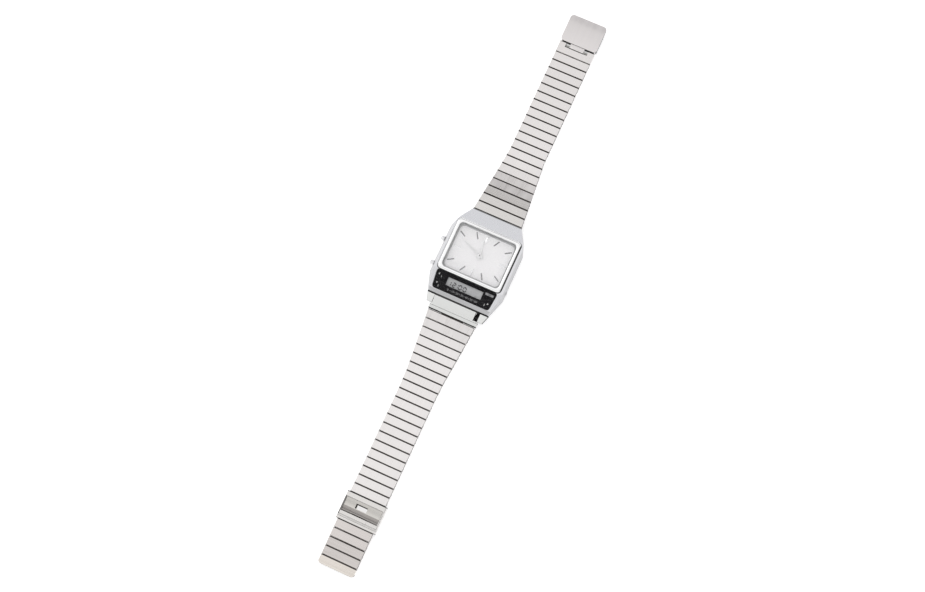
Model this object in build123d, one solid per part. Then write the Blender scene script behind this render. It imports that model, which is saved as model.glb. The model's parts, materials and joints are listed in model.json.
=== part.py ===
from build123d import *
import os
from math import asin, cos, degrees, hypot, radians, sin, tan

# An analogue and digital wristwatch, laid out flat and open, face up.
# Millimetres. +Z is up out of the dial, +Y runs to 12 o'clock and +X to 3 o'clock.
# The origin is the centre of the case back, on the surface the watch lies on.

# Case, seen from above: its two sizes, and how far each corner stands in from them.
case_length = 38.8
case_width = 29.2
upper_end_inset = 4.9
shoulder_inset = 1.8
lug_end_inset = 3.5
shoulder_run = 5.0
upper_flank_run = 9.9
lower_flank_run = 10.6
lug_run = 3.6
lip_groove_width = 0.4
lip_groove_depth = 1.1

# Case, seen from the side.
back_thickness = 0.8
waist_low = 3.1
waist_rise = 0.8
crown_rise = 2.7
under_draft = 0.4
lug_rise = 0.3

# How far each side of the case leans inwards from its waist up to the deck.
upper_slope_lean = 5.5
upper_shoulder_lean = 0.45
lower_shoulder_lean = 0.3
flank_lean = 0.85
lower_flank_lean = 1.0
lower_slope_lean = 3.6

# Window frame and crystal.
frame_side_inset = 1.9
frame_upper_inset = 5.9
frame_panel_gap = 0.05
frame_wall = 1.1
frame_round = 1.6
frame_seat_depth = 0.3
frame_rise = 1.0
frame_edge = 0.35
crystal_rise = 1.2
crystal_edge = 0.25
crystal_ledge = 0.5
glass_clearance = 0.05

# Display panel below the dial.
panel_tilt = 8.0
panel_run = 12.35
panel_lip = 1.5
panel_upper_inset = 0.6
panel_lower_inset = 1.4
panel_round = 1.1
panel_glass = 0.8
panel_proud = 0.05
mask_thickness = 0.15
lcd_side_inset = 5.1
lcd_window_height = 3.1
lcd_window_offset = 3.15
lcd_opening_margin = 0.5
panel_floor = 0.5
lcd_plate = 0.45
lcd_margin = 1.1
lcd_contact_ledge = 0.6

# Room inside the case, by the wall left round it.
cavity_roof_drop = 1.3
cavity_side_wall = 2.3
cavity_flank_run = 12.4
cavity_upper_inset = 2.7
cavity_upper_run = 6.0
cavity_corner_inset = 0.75
cavity_corner_run = 7.8
cavity_lower_corner_inset = 1.1
cavity_lower_corner_run = 8.2
cavity_lower_inset = 3.9
cavity_lower_run = 5.0
module_clearance = 0.12

# Gasket, back cover and its screws.
gasket_width = 0.5
gasket_height = 0.5
back_inset = 0.6
back_upper_run = 2.8
back_lip_gap = 0.6
back_edge = 0.3
back_corner = 0.8
screw_head_radius = 0.85
screw_head_height = 0.35
screw_head_sink = 0.1
screw_shank_radius = 0.45
screw_length = 3.0
screw_clearance = 0.05
upper_screw_inset = 3.2
upper_screw_run = 4.4
lower_screw_inset = 0.4
lower_screw_run = 5.8

# Dial, markers and hands.
dial_thickness = 0.3
surround_clearance = 0.05
surround_width = 0.6
surround_rim_width = 0.08
marker_edge_gap = 0.9
marker_length = 2.6
marker_width = 0.42
marker_height = 0.2
noon_marker_width = 0.95
hand_thickness = 0.15
hour_hand_gap = 0.25
minute_hand_gap = 0.25
hour_hand_share = 0.29
minute_hand_share = 0.375
hour_hand_width = 0.85
minute_hand_width = 0.7
hand_tip_share = 0.45
hand_tail = 1.6
hub_radius = 0.95
hour_pipe_radius = 0.75
hour_pipe_depth = 1.4
cannon_radius = 0.45
cannon_depth = 2.7
cannon_cap_height = 0.2
pipe_clearance = 0.05
hour_hand_time = 11.81
hour_count = 12

# Module, circuit board, battery and buzzer.
module_underside = 1.75
board_thickness = 0.4
board_inset = 0.5
battery_radius = 4.75
battery_height = 2.1
battery_side_gap = 1.35
battery_clearance = 0.1
clip_thickness = 0.2
clip_width = 2.4
clip_overhang = 1.3
clip_tab = 0.8
chip_size = 3.2
chip_height = 0.35
chip_x = 3.0
chip_flank_gap = 1.5
buzzer_radius = 4.4
buzzer_plate = 0.2
ceramic_radius = 3.0
ceramic_plate = 0.12
buzzer_side_gap = 2.9
buzzer_flank_gap = 3.5

# Push buttons.
button_drop = 0.05
button_head_radius = 1.0
button_head_edge = 0.3
button_stem_radius = 0.6
button_reach = 1.5
button_flush_reach = 0.35
button_travel = 0.8
button_bore_clearance = 0.05
button_recess_clearance = 0.1
button_recess_depth = 0.9
button_collar_radius = 1.0
button_collar = 0.3
button_collar_gap = 0.1
upper_button_gap = 2.6
lower_button_gap = 1.5
button_pocket = 2.6
button_pocket_margin = 0.35

# Spring bars that hold the bracelet to the case.
spring_bar_radius = 0.65
spring_tip_radius = 0.4
spring_tip_length = 1.1
spring_bar_clearance = 0.05
spring_bar_play = 0.15
upper_bar_inset = 0.95
upper_bar_drop = 0.5
lower_bar_inset = 1.5
lower_bar_drop = 0.45

# Bracelet bars.
bar_pitch = 3.45
bar_thickness = 2.2
bar_stop_clearance = 0.06
pin_inset = 0.95
pin_radius = 0.35
pin_clearance = 0.03
pin_sink = 0.15
bar_bevel = 0.25
bar_under_bevel = 0.15
tongue_share = 0.46
tongue_radius = 0.62
tongue_side_clearance = 0.15
slot_roof_clearance = 0.05
slot_end_clearance = 0.12
bracelet_upper_overhang = 0.1
bracelet_lower_inset = 1.6
bracelet_clasp_width = 14.1
tapering_bar_count = 8
upper_bar_count = 20
lower_bar_count = 21
upper_single_count = 6
lower_single_count = 5
pair_bar_count = 2

# How the bracelet drapes from the case to the surface: the share of the drop on each bar.
upper_drape_shares = [0.0, 0.08, 0.24, 0.36, 0.24, 0.08]
lower_drape_shares = [0.42, 0.33, 0.18, 0.07]
end_link_slope = 6.0

# How far each pivot of the bracelet turns from straight, in degrees.
curl_limit = 10.0
backbend_limit = 5.0

# Lower end link, which sits between the lugs of the case.
lug_cheek = 2.0
lug_gap_clearance = 0.15
end_link_length = 5.3
end_link_thickness = 2.5
end_link_crown = 1.45
end_link_crease = 1.4
end_link_crease_drop = 0.35
end_link_seat_gap = 0.3
end_link_nose = 1.5
end_notch_width = 1.5
end_notch_wall = 0.25

# Clasp cover and the end link that carries it.
clasp_end_length = 4.4
cover_recess_cheek = 2.55
cover_recess_depth = 1.85
cover_pin_inset = 0.95
cover_swing_clearance = 0.06
cover_pin_radius = 0.4
cover_knuckle_gap = 1.65
cover_knuckle_radius = 0.8
cover_length = 11.2
cover_overhang = 0.25
cover_skin = 0.6
cover_lip_length = 3.3
cover_lip_drop = 0.45
cover_round = 1.3
cover_flange_length = 7.6
cover_knuckle_height = 0.5

# Sliding buckle on the lower half.
slider_length = 10.4
slider_floor = 0.5
slider_wall = 0.5
slider_side_clearance = 0.1
slider_under_clearance = 0.1
slider_over_clearance = 0.12
slider_height = 4.1
slider_wall_round = 0.4
near_strip_length = 1.9
far_step_length = 1.5
far_step_height = 0.45
crossbar_length = 1.5
crossbar_bump_share = 0.44
crossbar_bump = 0.3
floor_window_length_share = 0.44
floor_window_width_share = 0.57
track_bar_count = 5
hidden_bar_count = 3
tail_bar_count = 3
rise_bar_count = 4
tail_corner_round = 1.2

# Lock plate inside the sliding buckle.
lock_plate_thickness = 0.4
lock_plate_dish = 0.35
lock_plate_side_gap = 0.12
lock_plate_end_gap = 0.15
lock_plate_under_gap = 0.05
lock_barrel_radius = 0.5
lock_barrel_gap = 0.1
lock_pin_radius = 0.25
pry_slot_width = 4.4
pry_slot_height = 0.35
pry_slot_leg = 1.8
pry_slot_leg_width = 0.55
pry_slot_offset = 1.2
pry_slot_shift = 0.6

# Small round things have few flat sides: pins and bores fewest, then heads, then discs.
pin_side_count = 8
head_side_count = 16
disc_side_count = 32
corner_step_count = 4

# One length that every cut runs past the surface it opens.
overrun = 1.0
quarter_turn = 90.0
half_turn = 180.0
full_turn = 360.0


# Stations along the case and widths across it.
case_top_end = case_length / 2
case_low_end = -case_length / 2
upper_end_width = case_width - 2 * upper_end_inset
shoulder_width = case_width - 2 * shoulder_inset
lug_end_width = case_width - 2 * lug_end_inset
shoulder_station = case_top_end - shoulder_run
upper_flank_station = case_top_end - upper_flank_run
lower_flank_station = case_low_end + lower_flank_run
lip_station = case_low_end + lug_run
waist_high = waist_low + waist_rise
waist_middle = waist_low + waist_rise / 2
deck_height = waist_high + crown_rise
lug_top = waist_high + lug_rise

# The window and the panel fill the crown between its ends.
panel_start = case_low_end + panel_run
panel_length = panel_start - lip_station - panel_lip
frame_low_station = panel_start + frame_panel_gap
frame_high_station = case_top_end - frame_upper_inset
frame_width = case_width - 2 * frame_side_inset
frame_length = frame_high_station - frame_low_station
dial_station = (frame_high_station + frame_low_station) / 2
panel_upper_width = frame_width - 2 * panel_upper_inset
panel_lower_width = frame_width - 2 * panel_lower_inset
lcd_window_width = panel_upper_width - 2 * lcd_side_inset

# The room inside.
cavity_roof = deck_height - cavity_roof_drop
cavity_width = case_width - 2 * cavity_side_wall
cavity_upper_width = cavity_width - 2 * cavity_upper_inset
cavity_corner_width = cavity_width - 2 * cavity_corner_inset
cavity_lower_corner_width = cavity_width - 2 * cavity_lower_corner_inset
cavity_lower_width = cavity_width - 2 * cavity_lower_inset
cavity_upper_station = case_top_end - cavity_upper_run
cavity_corner_station = case_top_end - cavity_corner_run
cavity_lower_corner_station = case_low_end + cavity_lower_corner_run
cavity_lower_station = case_low_end + cavity_lower_run
cavity_upper_flank_station = case_top_end - cavity_flank_run
cavity_lower_flank_station = case_low_end + cavity_flank_run

# What fastens to the case.
back_upper_station = case_top_end - back_upper_run
back_lower_station = lip_station + back_lip_gap
upper_screw_spacing = shoulder_width - 2 * upper_screw_inset
upper_screw_station = case_top_end - upper_screw_run
lower_screw_spacing = lug_end_width - 2 * lower_screw_inset
lower_screw_station = case_low_end + lower_screw_run
button_height = waist_middle - button_drop
upper_button_station = cavity_upper_flank_station - upper_button_gap
lower_button_station = cavity_lower_flank_station + lower_button_gap
upper_bar_station = case_top_end - upper_bar_inset
upper_bar_height = waist_low - upper_bar_drop
lower_bar_station = case_low_end + lower_bar_inset
lower_bar_height = waist_low - lower_bar_drop
bracelet_case_width = upper_end_width + 2 * bracelet_upper_overhang
bracelet_lower_case_width = lug_end_width - 2 * bracelet_lower_inset
lug_gap_width = lug_end_width - 2 * lug_cheek

# What lies in the window and in the case.
marker_reach_x = frame_width / 2 - frame_wall - crystal_ledge - marker_edge_gap
marker_reach_y = frame_length / 2 - frame_wall - crystal_ledge - marker_edge_gap
hour_hand_length = frame_length * hour_hand_share
minute_hand_length = frame_length * minute_hand_share
battery_x = cavity_width / 2 - battery_radius - battery_side_gap
battery_y = cavity_upper_flank_station
chip_y = cavity_lower_flank_station + chip_flank_gap
buzzer_x = -(cavity_width / 2 - buzzer_radius - buzzer_side_gap)
buzzer_y = cavity_lower_flank_station + buzzer_flank_gap


def mirrored(half_outline):
    """Counterclockwise points of an outline whose +X side is given from top to bottom."""
    return [(-x, y) for x, y in half_outline] + half_outline[::-1]


def face_of(points):
    return make_face(Polyline(*points, close=True))


def soft_face(points, radius):
    """A face of counterclockwise points, its corners rounded in a few flat steps."""
    corners = [Vector(*point) for point in points]
    outline = []
    for index, corner in enumerate(corners):
        inwards = (corner - corners[index - 1]).normalized()
        onwards = (corners[(index + 1) % len(corners)] - corner).normalized()
        turn = inwards.get_angle(onwards)
        start = corner - inwards * radius * tan(radians(turn) / 2)
        spoke = inwards.rotate(Axis.Z, -quarter_turn) * radius
        for step in range(corner_step_count + 1):
            outline.append(start - spoke + spoke.rotate(Axis.Z, turn * step / corner_step_count))
    return face_of(outline)


def inset_points(points, insets):
    """Counterclockwise points whose sides each move inwards by their own amount."""
    sides = []
    for index, inset in enumerate(insets):
        x, y = points[index]
        next_x, next_y = points[(index + 1) % len(points)]
        length = hypot(next_x - x, next_y - y)
        across = (next_y - y) / length
        along = (x - next_x) / length
        sides.append((across, along, across * x + along * y - inset))
    corners = []
    for index, (across, along, reach) in enumerate(sides):
        last_across, last_along, last_reach = sides[index - 1]
        scale = last_across * along - across * last_along
        corners.append(((last_reach * along - reach * last_along) / scale,
                        (last_across * reach - across * last_reach) / scale))
    return corners


def flat_sided(low_points, low, high_points, high):
    """A solid between two outlines whose matching sides are parallel."""
    lower = [(x, y, low) for x, y in low_points]
    upper = [(x, y, high) for x, y in high_points]
    faces = [face_of(lower), face_of(upper)]
    for index, corner in enumerate(lower):
        faces.append(face_of([lower[index - 1], corner, upper[index], upper[index - 1]]))
    return Solid(Shell(faces))


def prism(face, low, high):
    """Raise a face in the ground plane from one height to another."""
    return extrude(Pos(0, 0, low) * face, high - low)


def round_face(radius, sides, bore=False):
    """A round outline of flat sides: within the circle for a rod, outside it for a bore."""
    return RegularPolygon(radius, sides, major_radius=not bore, rotation=half_turn / sides)


def rod(radius, low, high, sides, bore=False):
    """A rod, head or bore that stands along Z."""
    return prism(round_face(radius, sides, bore), low, high)


def cross_rod(radius, length, y=0, z=0, sides=pin_side_count, bore=False):
    """A rod or a bore that runs across the watch, along X."""
    along_z = rod(radius, -length / 2, length / 2, sides, bore)
    return Pos(0, y, z) * Rot(0, quarter_turn, 0) * along_z


waist_points = mirrored([
    (upper_end_width / 2, case_top_end),
    (shoulder_width / 2, shoulder_station),
    (case_width / 2, upper_flank_station),
    (case_width / 2, lower_flank_station),
    (lug_end_width / 2, case_low_end),
])
side_leans = [upper_shoulder_lean, lower_shoulder_lean, flank_lean, lower_flank_lean]
crown_leans = side_leans + [lower_slope_lean] + side_leans[::-1] + [upper_slope_lean]
cavity_points = mirrored([
    (cavity_upper_width / 2, cavity_upper_station),
    (cavity_corner_width / 2, cavity_corner_station),
    (cavity_width / 2, cavity_upper_flank_station),
    (cavity_width / 2, cavity_lower_flank_station),
    (cavity_lower_corner_width / 2, cavity_lower_corner_station),
    (cavity_lower_width / 2, cavity_lower_station),
])


def waist_inset(inset):
    return inset_points(waist_points, [inset] * len(waist_points))


def cavity_face(inset=0.0):
    return face_of(inset_points(cavity_points, [inset] * len(cavity_points)))


def frame_face(inset=0.0):
    """Outline of the window frame, or of what lies inside it by an inset."""
    half_width = frame_width / 2 - inset
    half_length = frame_length / 2 - inset
    points = mirrored([(half_width, half_length), (half_width, -half_length)])
    return Pos(0, dial_station) * soft_face(points, frame_round)


def on_panel(z=0.0):
    """Place something on the tilted panel, at a height along the panel's normal."""
    return Pos(0, panel_start, deck_height) * Rot(panel_tilt, 0, 0) * Pos(0, 0, z)


def panel_face(margin=0.0):
    points = mirrored([
        (panel_upper_width / 2 + margin, margin),
        (panel_lower_width / 2 + margin, -panel_length - margin),
    ])
    return soft_face(points, panel_round)


def lcd_window_face(margin=0.0):
    width = lcd_window_width + 2 * margin
    height = lcd_window_height + 2 * margin
    return Pos(0, -lcd_window_offset) * Rectangle(width, height)


def above_panel(z):
    """Everything higher than one level of the tilted panel, for cutting."""
    size = case_length
    return on_panel(z) * Pos(0, -size / 2, size / 2) * Box(2 * size, size, size)


panel_seat = panel_glass + mask_thickness - panel_proud
lcd_top = -(panel_seat + panel_floor)


def cavity(inset, low):
    """The room in the case, or what fills it with a clearance all round."""
    return prism(cavity_face(inset), low, cavity_roof) - above_panel(lcd_top)


def button_axis(side, station):
    """Place a thing that points along +Z on a button's axis, pointing outwards."""
    return Pos(0, station, button_height) * Rot(0, side * quarter_turn, 0)


button_places = {
    "button_upper_left": (-1, upper_button_station, button_reach),
    "button_lower_left": (-1, lower_button_station, button_reach),
    "button_lower_right": (1, lower_button_station, button_flush_reach),
}


def screw_places():
    places = []
    for spacing, station in (
        (upper_screw_spacing, upper_screw_station),
        (lower_screw_spacing, lower_screw_station),
    ):
        places += [(spacing / 2, station), (-spacing / 2, station)]
    return places


upper_tongue_width = bracelet_case_width * tongue_share
upper_slot_width = upper_tongue_width + 2 * tongue_side_clearance
first_tongue_radius = spring_bar_radius + tongue_radius - pin_radius


def case_shell():
    """The outside of the case: a drafted base, an upright waist and a sloping crown."""
    base = flat_sided(waist_inset(under_draft), back_thickness, waist_points, waist_low)
    middle = prism(face_of(waist_points), waist_low, waist_high)
    deck_points = inset_points(waist_points, crown_leans)
    crown = flat_sided(waist_points, waist_high, deck_points, deck_height)
    return middle + base + crown


def lug_trim():
    """What is cut away above the lugs and between them, and the groove along the lip."""
    reach = lip_station - case_low_end + overrun
    middle_y = lip_station - reach / 2
    above = Pos(0, middle_y, lug_top + deck_height / 2) * Box(case_width, reach, deck_height)
    between = Pos(0, middle_y, deck_height / 2) * Box(lug_gap_width, reach, 2 * deck_height)
    groove = Pos(0, lip_station - lip_groove_width / 2, lug_top) * Box(
        case_width, lip_groove_width, 2 * lip_groove_depth)
    return above + between + groove


def upper_band_pocket():
    """The pocket under the 12 o'clock end that takes the tongue of the first bar."""
    back = upper_bar_station - first_tongue_radius - slot_end_clearance
    depth = case_top_end + overrun - back
    top = upper_bar_height + first_tongue_radius + slot_end_clearance
    place = Pos(0, back + depth / 2, top / 2)
    return place * Box(upper_slot_width, depth, top)


def spring_bar_holes():
    upper_length = upper_slot_width + 2 * spring_tip_length
    lower_length = lug_gap_width + 2 * spring_tip_length
    upper = cross_rod(spring_tip_radius, upper_length, upper_bar_station, upper_bar_height, bore=True)
    lower = cross_rod(spring_tip_radius, lower_length, lower_bar_station, lower_bar_height, bore=True)
    return upper + lower


def case_button_holes():
    holes = Part()
    for side, station, reach in button_places.values():
        outside = case_width / 2
        bore = rod(button_stem_radius + button_bore_clearance, 0, outside, pin_side_count, bore=True)
        recess = rod(button_head_radius + button_recess_clearance,
                     outside - button_recess_depth, outside + overrun, head_side_count, bore=True)
        holes += button_axis(side, station) * (bore + recess)
    return holes


def case_body():
    body = case_shell() - lug_trim() - above_panel(0)
    seat_floor = deck_height - frame_seat_depth
    body -= prism(frame_face(-glass_clearance), seat_floor, deck_height + overrun)
    body -= prism(frame_face(frame_wall + crystal_ledge), cavity_roof - overrun, deck_height)
    body -= cavity(0, 0)
    body -= on_panel(-panel_seat) * extrude(panel_face(glass_clearance), panel_seat + overrun)
    body -= on_panel(lcd_top - overrun) * extrude(
        lcd_window_face(lcd_opening_margin), panel_floor + 2 * overrun)
    body -= prism(cavity_face(-gasket_width), 0, back_thickness + gasket_height)
    body -= upper_band_pocket()
    body -= spring_bar_holes()
    body -= case_button_holes()
    for x, y in screw_places():
        top = screw_head_sink + screw_length + screw_clearance
        body -= Pos(x, y, 0) * rod(screw_shank_radius, 0, top, pin_side_count, bore=True)
    return body


def bezel_frame():
    base = deck_height - frame_seat_depth
    top = deck_height + frame_rise
    frame = prism(frame_face(), base, top)
    frame = chamfer(frame.edges().group_by(Axis.Z)[-1], frame_edge)
    return frame - prism(frame_face(frame_wall), base - overrun, top + overrun)


def dial_crystal():
    base = deck_height - frame_seat_depth
    outline = frame_face(frame_wall + glass_clearance)
    crystal = prism(outline, base, deck_height + crystal_rise)
    return chamfer(crystal.edges().group_by(Axis.Z)[-1], crystal_edge)


def display_glass():
    return on_panel(panel_proud - panel_glass) * extrude(panel_face(), panel_glass)


def display_mask():
    sheet = extrude(panel_face() - lcd_window_face(), mask_thickness)
    return on_panel(-panel_seat) * sheet


def lcd_cell():
    front = extrude(lcd_window_face(lcd_margin), lcd_plate)
    rear_face = lcd_window_face(lcd_margin) + Pos(0, -lcd_contact_ledge) * lcd_window_face(lcd_margin)
    rear = extrude(rear_face, lcd_plate)
    return on_panel(lcd_top - lcd_plate) * front + on_panel(lcd_top - 2 * lcd_plate) * rear


dial_top = cavity_roof
dial_low = cavity_roof - dial_thickness
dial_edge_low = dial_station - frame_length / 2 + frame_wall / 2


def dial_plate():
    length = cavity_upper_station - dial_edge_low
    frame = Pos(0, dial_edge_low + length / 2) * Rectangle(case_width, length)
    plate = prism(cavity_face(module_clearance) & frame, dial_low, dial_top)
    hole = rod(hour_pipe_radius + pipe_clearance, 0, 2 * dial_top, head_side_count, bore=True)
    return plate - Pos(0, dial_station, 0) * hole


def dial_surround():
    """The sloping ring between the window's wall and the edge of the dial."""
    outer = frame_wall + crystal_ledge + surround_clearance
    top = deck_height - frame_seat_depth - surround_clearance
    ring = prism(frame_face(outer), dial_top, top)
    foot = frame_face(outer + surround_width)
    rim = frame_face(outer + surround_rim_width)
    room = loft([Pos(0, 0, dial_top) * foot, Pos(0, 0, top) * rim], ruled=True)
    return ring - room


def hour_markers():
    """Twelve applied batons whose outer ends follow the rectangular window."""
    markers = []
    for hour in range(hour_count):
        angle = full_turn * hour / hour_count
        across = abs(sin(radians(angle)))
        along = abs(cos(radians(angle)))
        reach = marker_reach_y / along if along * marker_reach_x > across * marker_reach_y \
            else marker_reach_x / across
        width = noon_marker_width if hour == 0 else marker_width
        middle = reach - marker_length / 2
        baton = Pos(0, middle, marker_height / 2) * Box(width, marker_length, marker_height)
        markers.append(Pos(0, dial_station, dial_top) * Rot(0, 0, -angle) * baton)
    return markers


def hand_blade(length, width):
    """A flat tapering hand with a round hub and a short tail, pointing to 12."""
    tip = width * hand_tip_share
    half_outline = [(tip / 2, length), (width / 2, 0), (width / 2, -hand_tail)]
    blade = face_of(mirrored(half_outline)) + round_face(hub_radius, head_side_count)
    return extrude(blade, hand_thickness)


hour_hand_low = dial_top + hour_hand_gap
minute_hand_low = hour_hand_low + hand_thickness + minute_hand_gap
hour_hand_angle = full_turn * hour_hand_time / hour_count
minute_hand_angle = full_turn * (hour_hand_time % 1)


def hour_hand():
    pipe = rod(hour_pipe_radius, -hour_pipe_depth, 0, head_side_count)
    hand = hand_blade(hour_hand_length, hour_hand_width) + pipe
    bore = rod(cannon_radius + pipe_clearance, -cannon_depth, cannon_depth, head_side_count, bore=True)
    return Pos(0, dial_station, hour_hand_low) * Rot(0, 0, -hour_hand_angle) * (hand - bore)


def minute_hand():
    cannon = rod(cannon_radius, -cannon_depth, hand_thickness + cannon_cap_height, head_side_count)
    hand = hand_blade(minute_hand_length, minute_hand_width) + cannon
    return Pos(0, dial_station, minute_hand_low) * Rot(0, 0, -minute_hand_angle) * hand


battery_low = module_underside - board_thickness - clip_thickness / 2


def movement_module():
    """The block that holds the dial train, the battery and the display."""
    block = cavity(module_clearance, module_underside) - above_panel(lcd_top - 2 * lcd_plate)
    block &= prism(Rectangle(case_width, case_length), module_underside, dial_low)
    room = rod(battery_radius + battery_clearance, 0, battery_low + battery_height,
               disc_side_count, bore=True)
    block -= Pos(battery_x, battery_y, 0) * room
    pipe_low = hour_hand_low - hour_pipe_depth - pipe_clearance
    cannon_low = minute_hand_low - cannon_depth - pipe_clearance
    pipe_bore = rod(hour_pipe_radius + pipe_clearance, pipe_low, dial_top, head_side_count, bore=True)
    cannon_bore = rod(cannon_radius + pipe_clearance, cannon_low, dial_top, head_side_count, bore=True)
    block -= Pos(0, dial_station, 0) * (pipe_bore + cannon_bore)
    size = 2 * (button_collar_radius + button_pocket_margin)
    for side, station, reach in button_places.values():
        pocket = Box(size, size, 2 * button_pocket)
        block -= button_axis(side, station) * Pos(0, 0, cavity_width / 2) * pocket
    return block


def circuit_board():
    hole = Pos(battery_x, battery_y) * round_face(
        battery_radius + battery_clearance, disc_side_count, bore=True)
    low = module_underside - board_thickness
    board = prism(cavity_face(board_inset) - hole, low, module_underside)
    chip = Pos(chip_x, chip_y, low - chip_height / 2) * Box(chip_size, chip_size, chip_height)
    return board + chip


def battery_cell():
    can = rod(battery_radius, battery_low, battery_low + battery_height, disc_side_count)
    return Pos(battery_x, battery_y, 0) * can


def battery_clip():
    """A spring strap across the battery, with feet on the board beside it."""
    length = 2 * (battery_radius + clip_overhang)
    strap_low = battery_low - clip_thickness
    clip = prism(Rectangle(clip_width, length), strap_low, battery_low)
    for end in (-1, 1):
        foot = Pos(0, end * (length - clip_tab) / 2) * Rectangle(clip_width, clip_tab)
        clip += prism(foot, strap_low, module_underside - board_thickness)
    return Pos(battery_x, battery_y, 0) * clip


def piezo_buzzer():
    brass_top = back_thickness + buzzer_plate
    brass = rod(buzzer_radius, back_thickness, brass_top, disc_side_count)
    ceramic = rod(ceramic_radius, brass_top, brass_top + ceramic_plate, disc_side_count)
    return Pos(buzzer_x, buzzer_y, 0) * (brass + ceramic)


def back_gasket():
    ring = cavity_face(-gasket_width) - cavity_face()
    return prism(ring, back_thickness, back_thickness + gasket_height)


def case_back():
    length = back_upper_station - back_lower_station
    middle = (back_upper_station + back_lower_station) / 2
    blank = face_of(waist_inset(back_inset)) & Pos(0, middle) * Rectangle(case_width, length)
    ends = blank.vertices().group_by(Axis.Y)
    blank = chamfer(ends[0] + ends[-1], back_corner)
    cover = prism(blank, 0, back_thickness)
    cover = chamfer(cover.edges().group_by(Axis.Z)[0], back_edge)
    for x, y in screw_places():
        head_top = screw_head_height + screw_head_sink
        sink = rod(screw_head_radius + screw_clearance, -overrun, head_top, head_side_count, bore=True)
        bore = rod(screw_shank_radius + screw_clearance, 0, back_thickness, pin_side_count, bore=True)
        cover -= Pos(x, y, 0) * (sink + bore)
    return cover


def back_screws():
    screws = []
    for x, y in screw_places():
        head = rod(screw_head_radius, 0, screw_head_height, head_side_count)
        shank = rod(screw_shank_radius, 0, screw_length, pin_side_count)
        screws.append(Pos(x, y, screw_head_sink) * (head + shank))
    return screws


def push_button(side, station, reach):
    """A round head on a stem, with the collar that keeps it in its bore."""
    tip = case_width / 2 + reach
    head_low = case_width / 2 - button_recess_depth + button_travel + button_recess_clearance / 2
    head = rod(button_head_radius, head_low, tip, head_side_count)
    head = chamfer(head.edges().group_by(Axis.Z)[-1], button_head_edge)
    collar_top = cavity_width / 2 - button_collar_gap
    stem_low = collar_top - button_collar
    stem = rod(button_stem_radius, stem_low, head_low, pin_side_count)
    collar = rod(button_collar_radius, stem_low, collar_top, pin_side_count)
    return button_axis(side, station) * (head + stem + collar)


def spring_bar(gap_width, y, z):
    """A spring bar between two cheeks: a tube with a sprung tip at each end."""
    tube = cross_rod(spring_bar_radius, gap_width - 2 * spring_bar_play, y, z, head_side_count)
    tips = cross_rod(spring_tip_radius, gap_width + 2 * (spring_tip_length - spring_bar_play), y, z)
    return tube + tips


def spring_bars():
    return [
        spring_bar(upper_slot_width, upper_bar_station, upper_bar_height),
        spring_bar(lug_gap_width, lower_bar_station, lower_bar_height),
    ]


# A bar is drawn with its inner pivot at the origin and its length along +Y.
half_bar = bar_thickness / 2
bar_gap = half_bar * tan(radians(curl_limit)) + bar_stop_clearance
bar_start = pin_inset + bar_gap
tongue_swing = pin_inset * sin(radians(backbend_limit))
slot_height = tongue_radius + tongue_swing + slot_roof_clearance


def bar_blank(inner_width, outer_width, end):
    """A flat bar with bevelled long edges, wider above than below."""
    plan = face_of(mirrored([(outer_width / 2, end), (inner_width / 2, bar_start)]))
    blank = prism(plan, -half_bar, half_bar)
    long_edges = blank.edges().filter_by(Axis.X).group_by(Axis.Z)
    blank = chamfer(long_edges[-1], bar_bevel)
    lower_edges = blank.edges().filter_by(Axis.X).group_by(Axis.Z)[0]
    return chamfer(lower_edges, bar_under_bevel)


def tongue(width, radius, bore_radius):
    """The hinge tongue at a bar's inner end, rounded about the pivot and bored for the pin."""
    knuckle = cross_rod(radius, width, bore=True)
    reach = bar_start + bar_gap
    web = Pos(0, reach / 2, -radius / 2) * Box(width, reach, radius)
    return knuckle + web - cross_rod(bore_radius, width + overrun, bore=True)


def slot_cut(width, pivot, end):
    """The slot under a bar's outer end that takes the next bar's tongue."""
    back = pivot - tongue_radius - slot_end_clearance
    low = -half_bar - overrun
    depth = end + overrun - back
    middle_z = (low + slot_height) / 2
    return Pos(0, back + depth / 2, middle_z) * Box(width, depth, slot_height - low)


def bar_solids(inner_width, outer_width, own_pin, first=False, last=False):
    """One bar of the bracelet and the pin in its outer end, which is its own where asked.

    The last bar of the tail has rounded corners and no pin."""
    end = bar_pitch + pin_inset
    bore = spring_bar_radius + spring_bar_clearance if first else pin_radius + pin_clearance
    radius = first_tongue_radius if first else tongue_radius
    bar = bar_blank(inner_width, outer_width, end)
    bar += tongue(inner_width * tongue_share, radius, bore)
    if last:
        corners = bar.edges().filter_by(Axis.Z).group_by(Axis.Y)[-1]
        return [fillet(corners, tail_corner_round)]
    slot_width = outer_width * tongue_share + 2 * tongue_side_clearance
    bar -= slot_cut(slot_width, bar_pitch, end)
    if not own_pin:
        return [bar + cross_rod(pin_radius, slot_width + overrun, bar_pitch)]
    bar -= cross_rod(pin_radius, inner_width + overrun, bar_pitch, bore=True)
    return [bar, cross_rod(pin_radius, outer_width - 2 * pin_sink, bar_pitch)]


def tapered_widths(case_end, count):
    """Width at each joint of a half: an even taper, then parallel down to the clasp."""
    widths = []
    for joint in range(count + 1):
        share = min(joint / tapering_bar_count, 1)
        widths.append(case_end + (bracelet_clasp_width - case_end) * share)
    return widths


def laid(solids, side, pivot, slope):
    """Lay solids drawn along +Y at a pivot, sloping down away from the case."""
    turn = 0 if side > 0 else half_turn
    place = Pos(0, *pivot) * Rot(-side * slope, 0, 0) * Rot(0, 0, turn)
    return [place * solid for solid in solids]


def next_pivot(pivot, side, slope, length):
    y, z = pivot
    return (y + side * length * cos(radians(slope)), z - length * sin(radians(slope)))


nodes = {}


def add_node(name, solids):
    nodes[name] = solids if isinstance(solids, list) else [solids]


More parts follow.
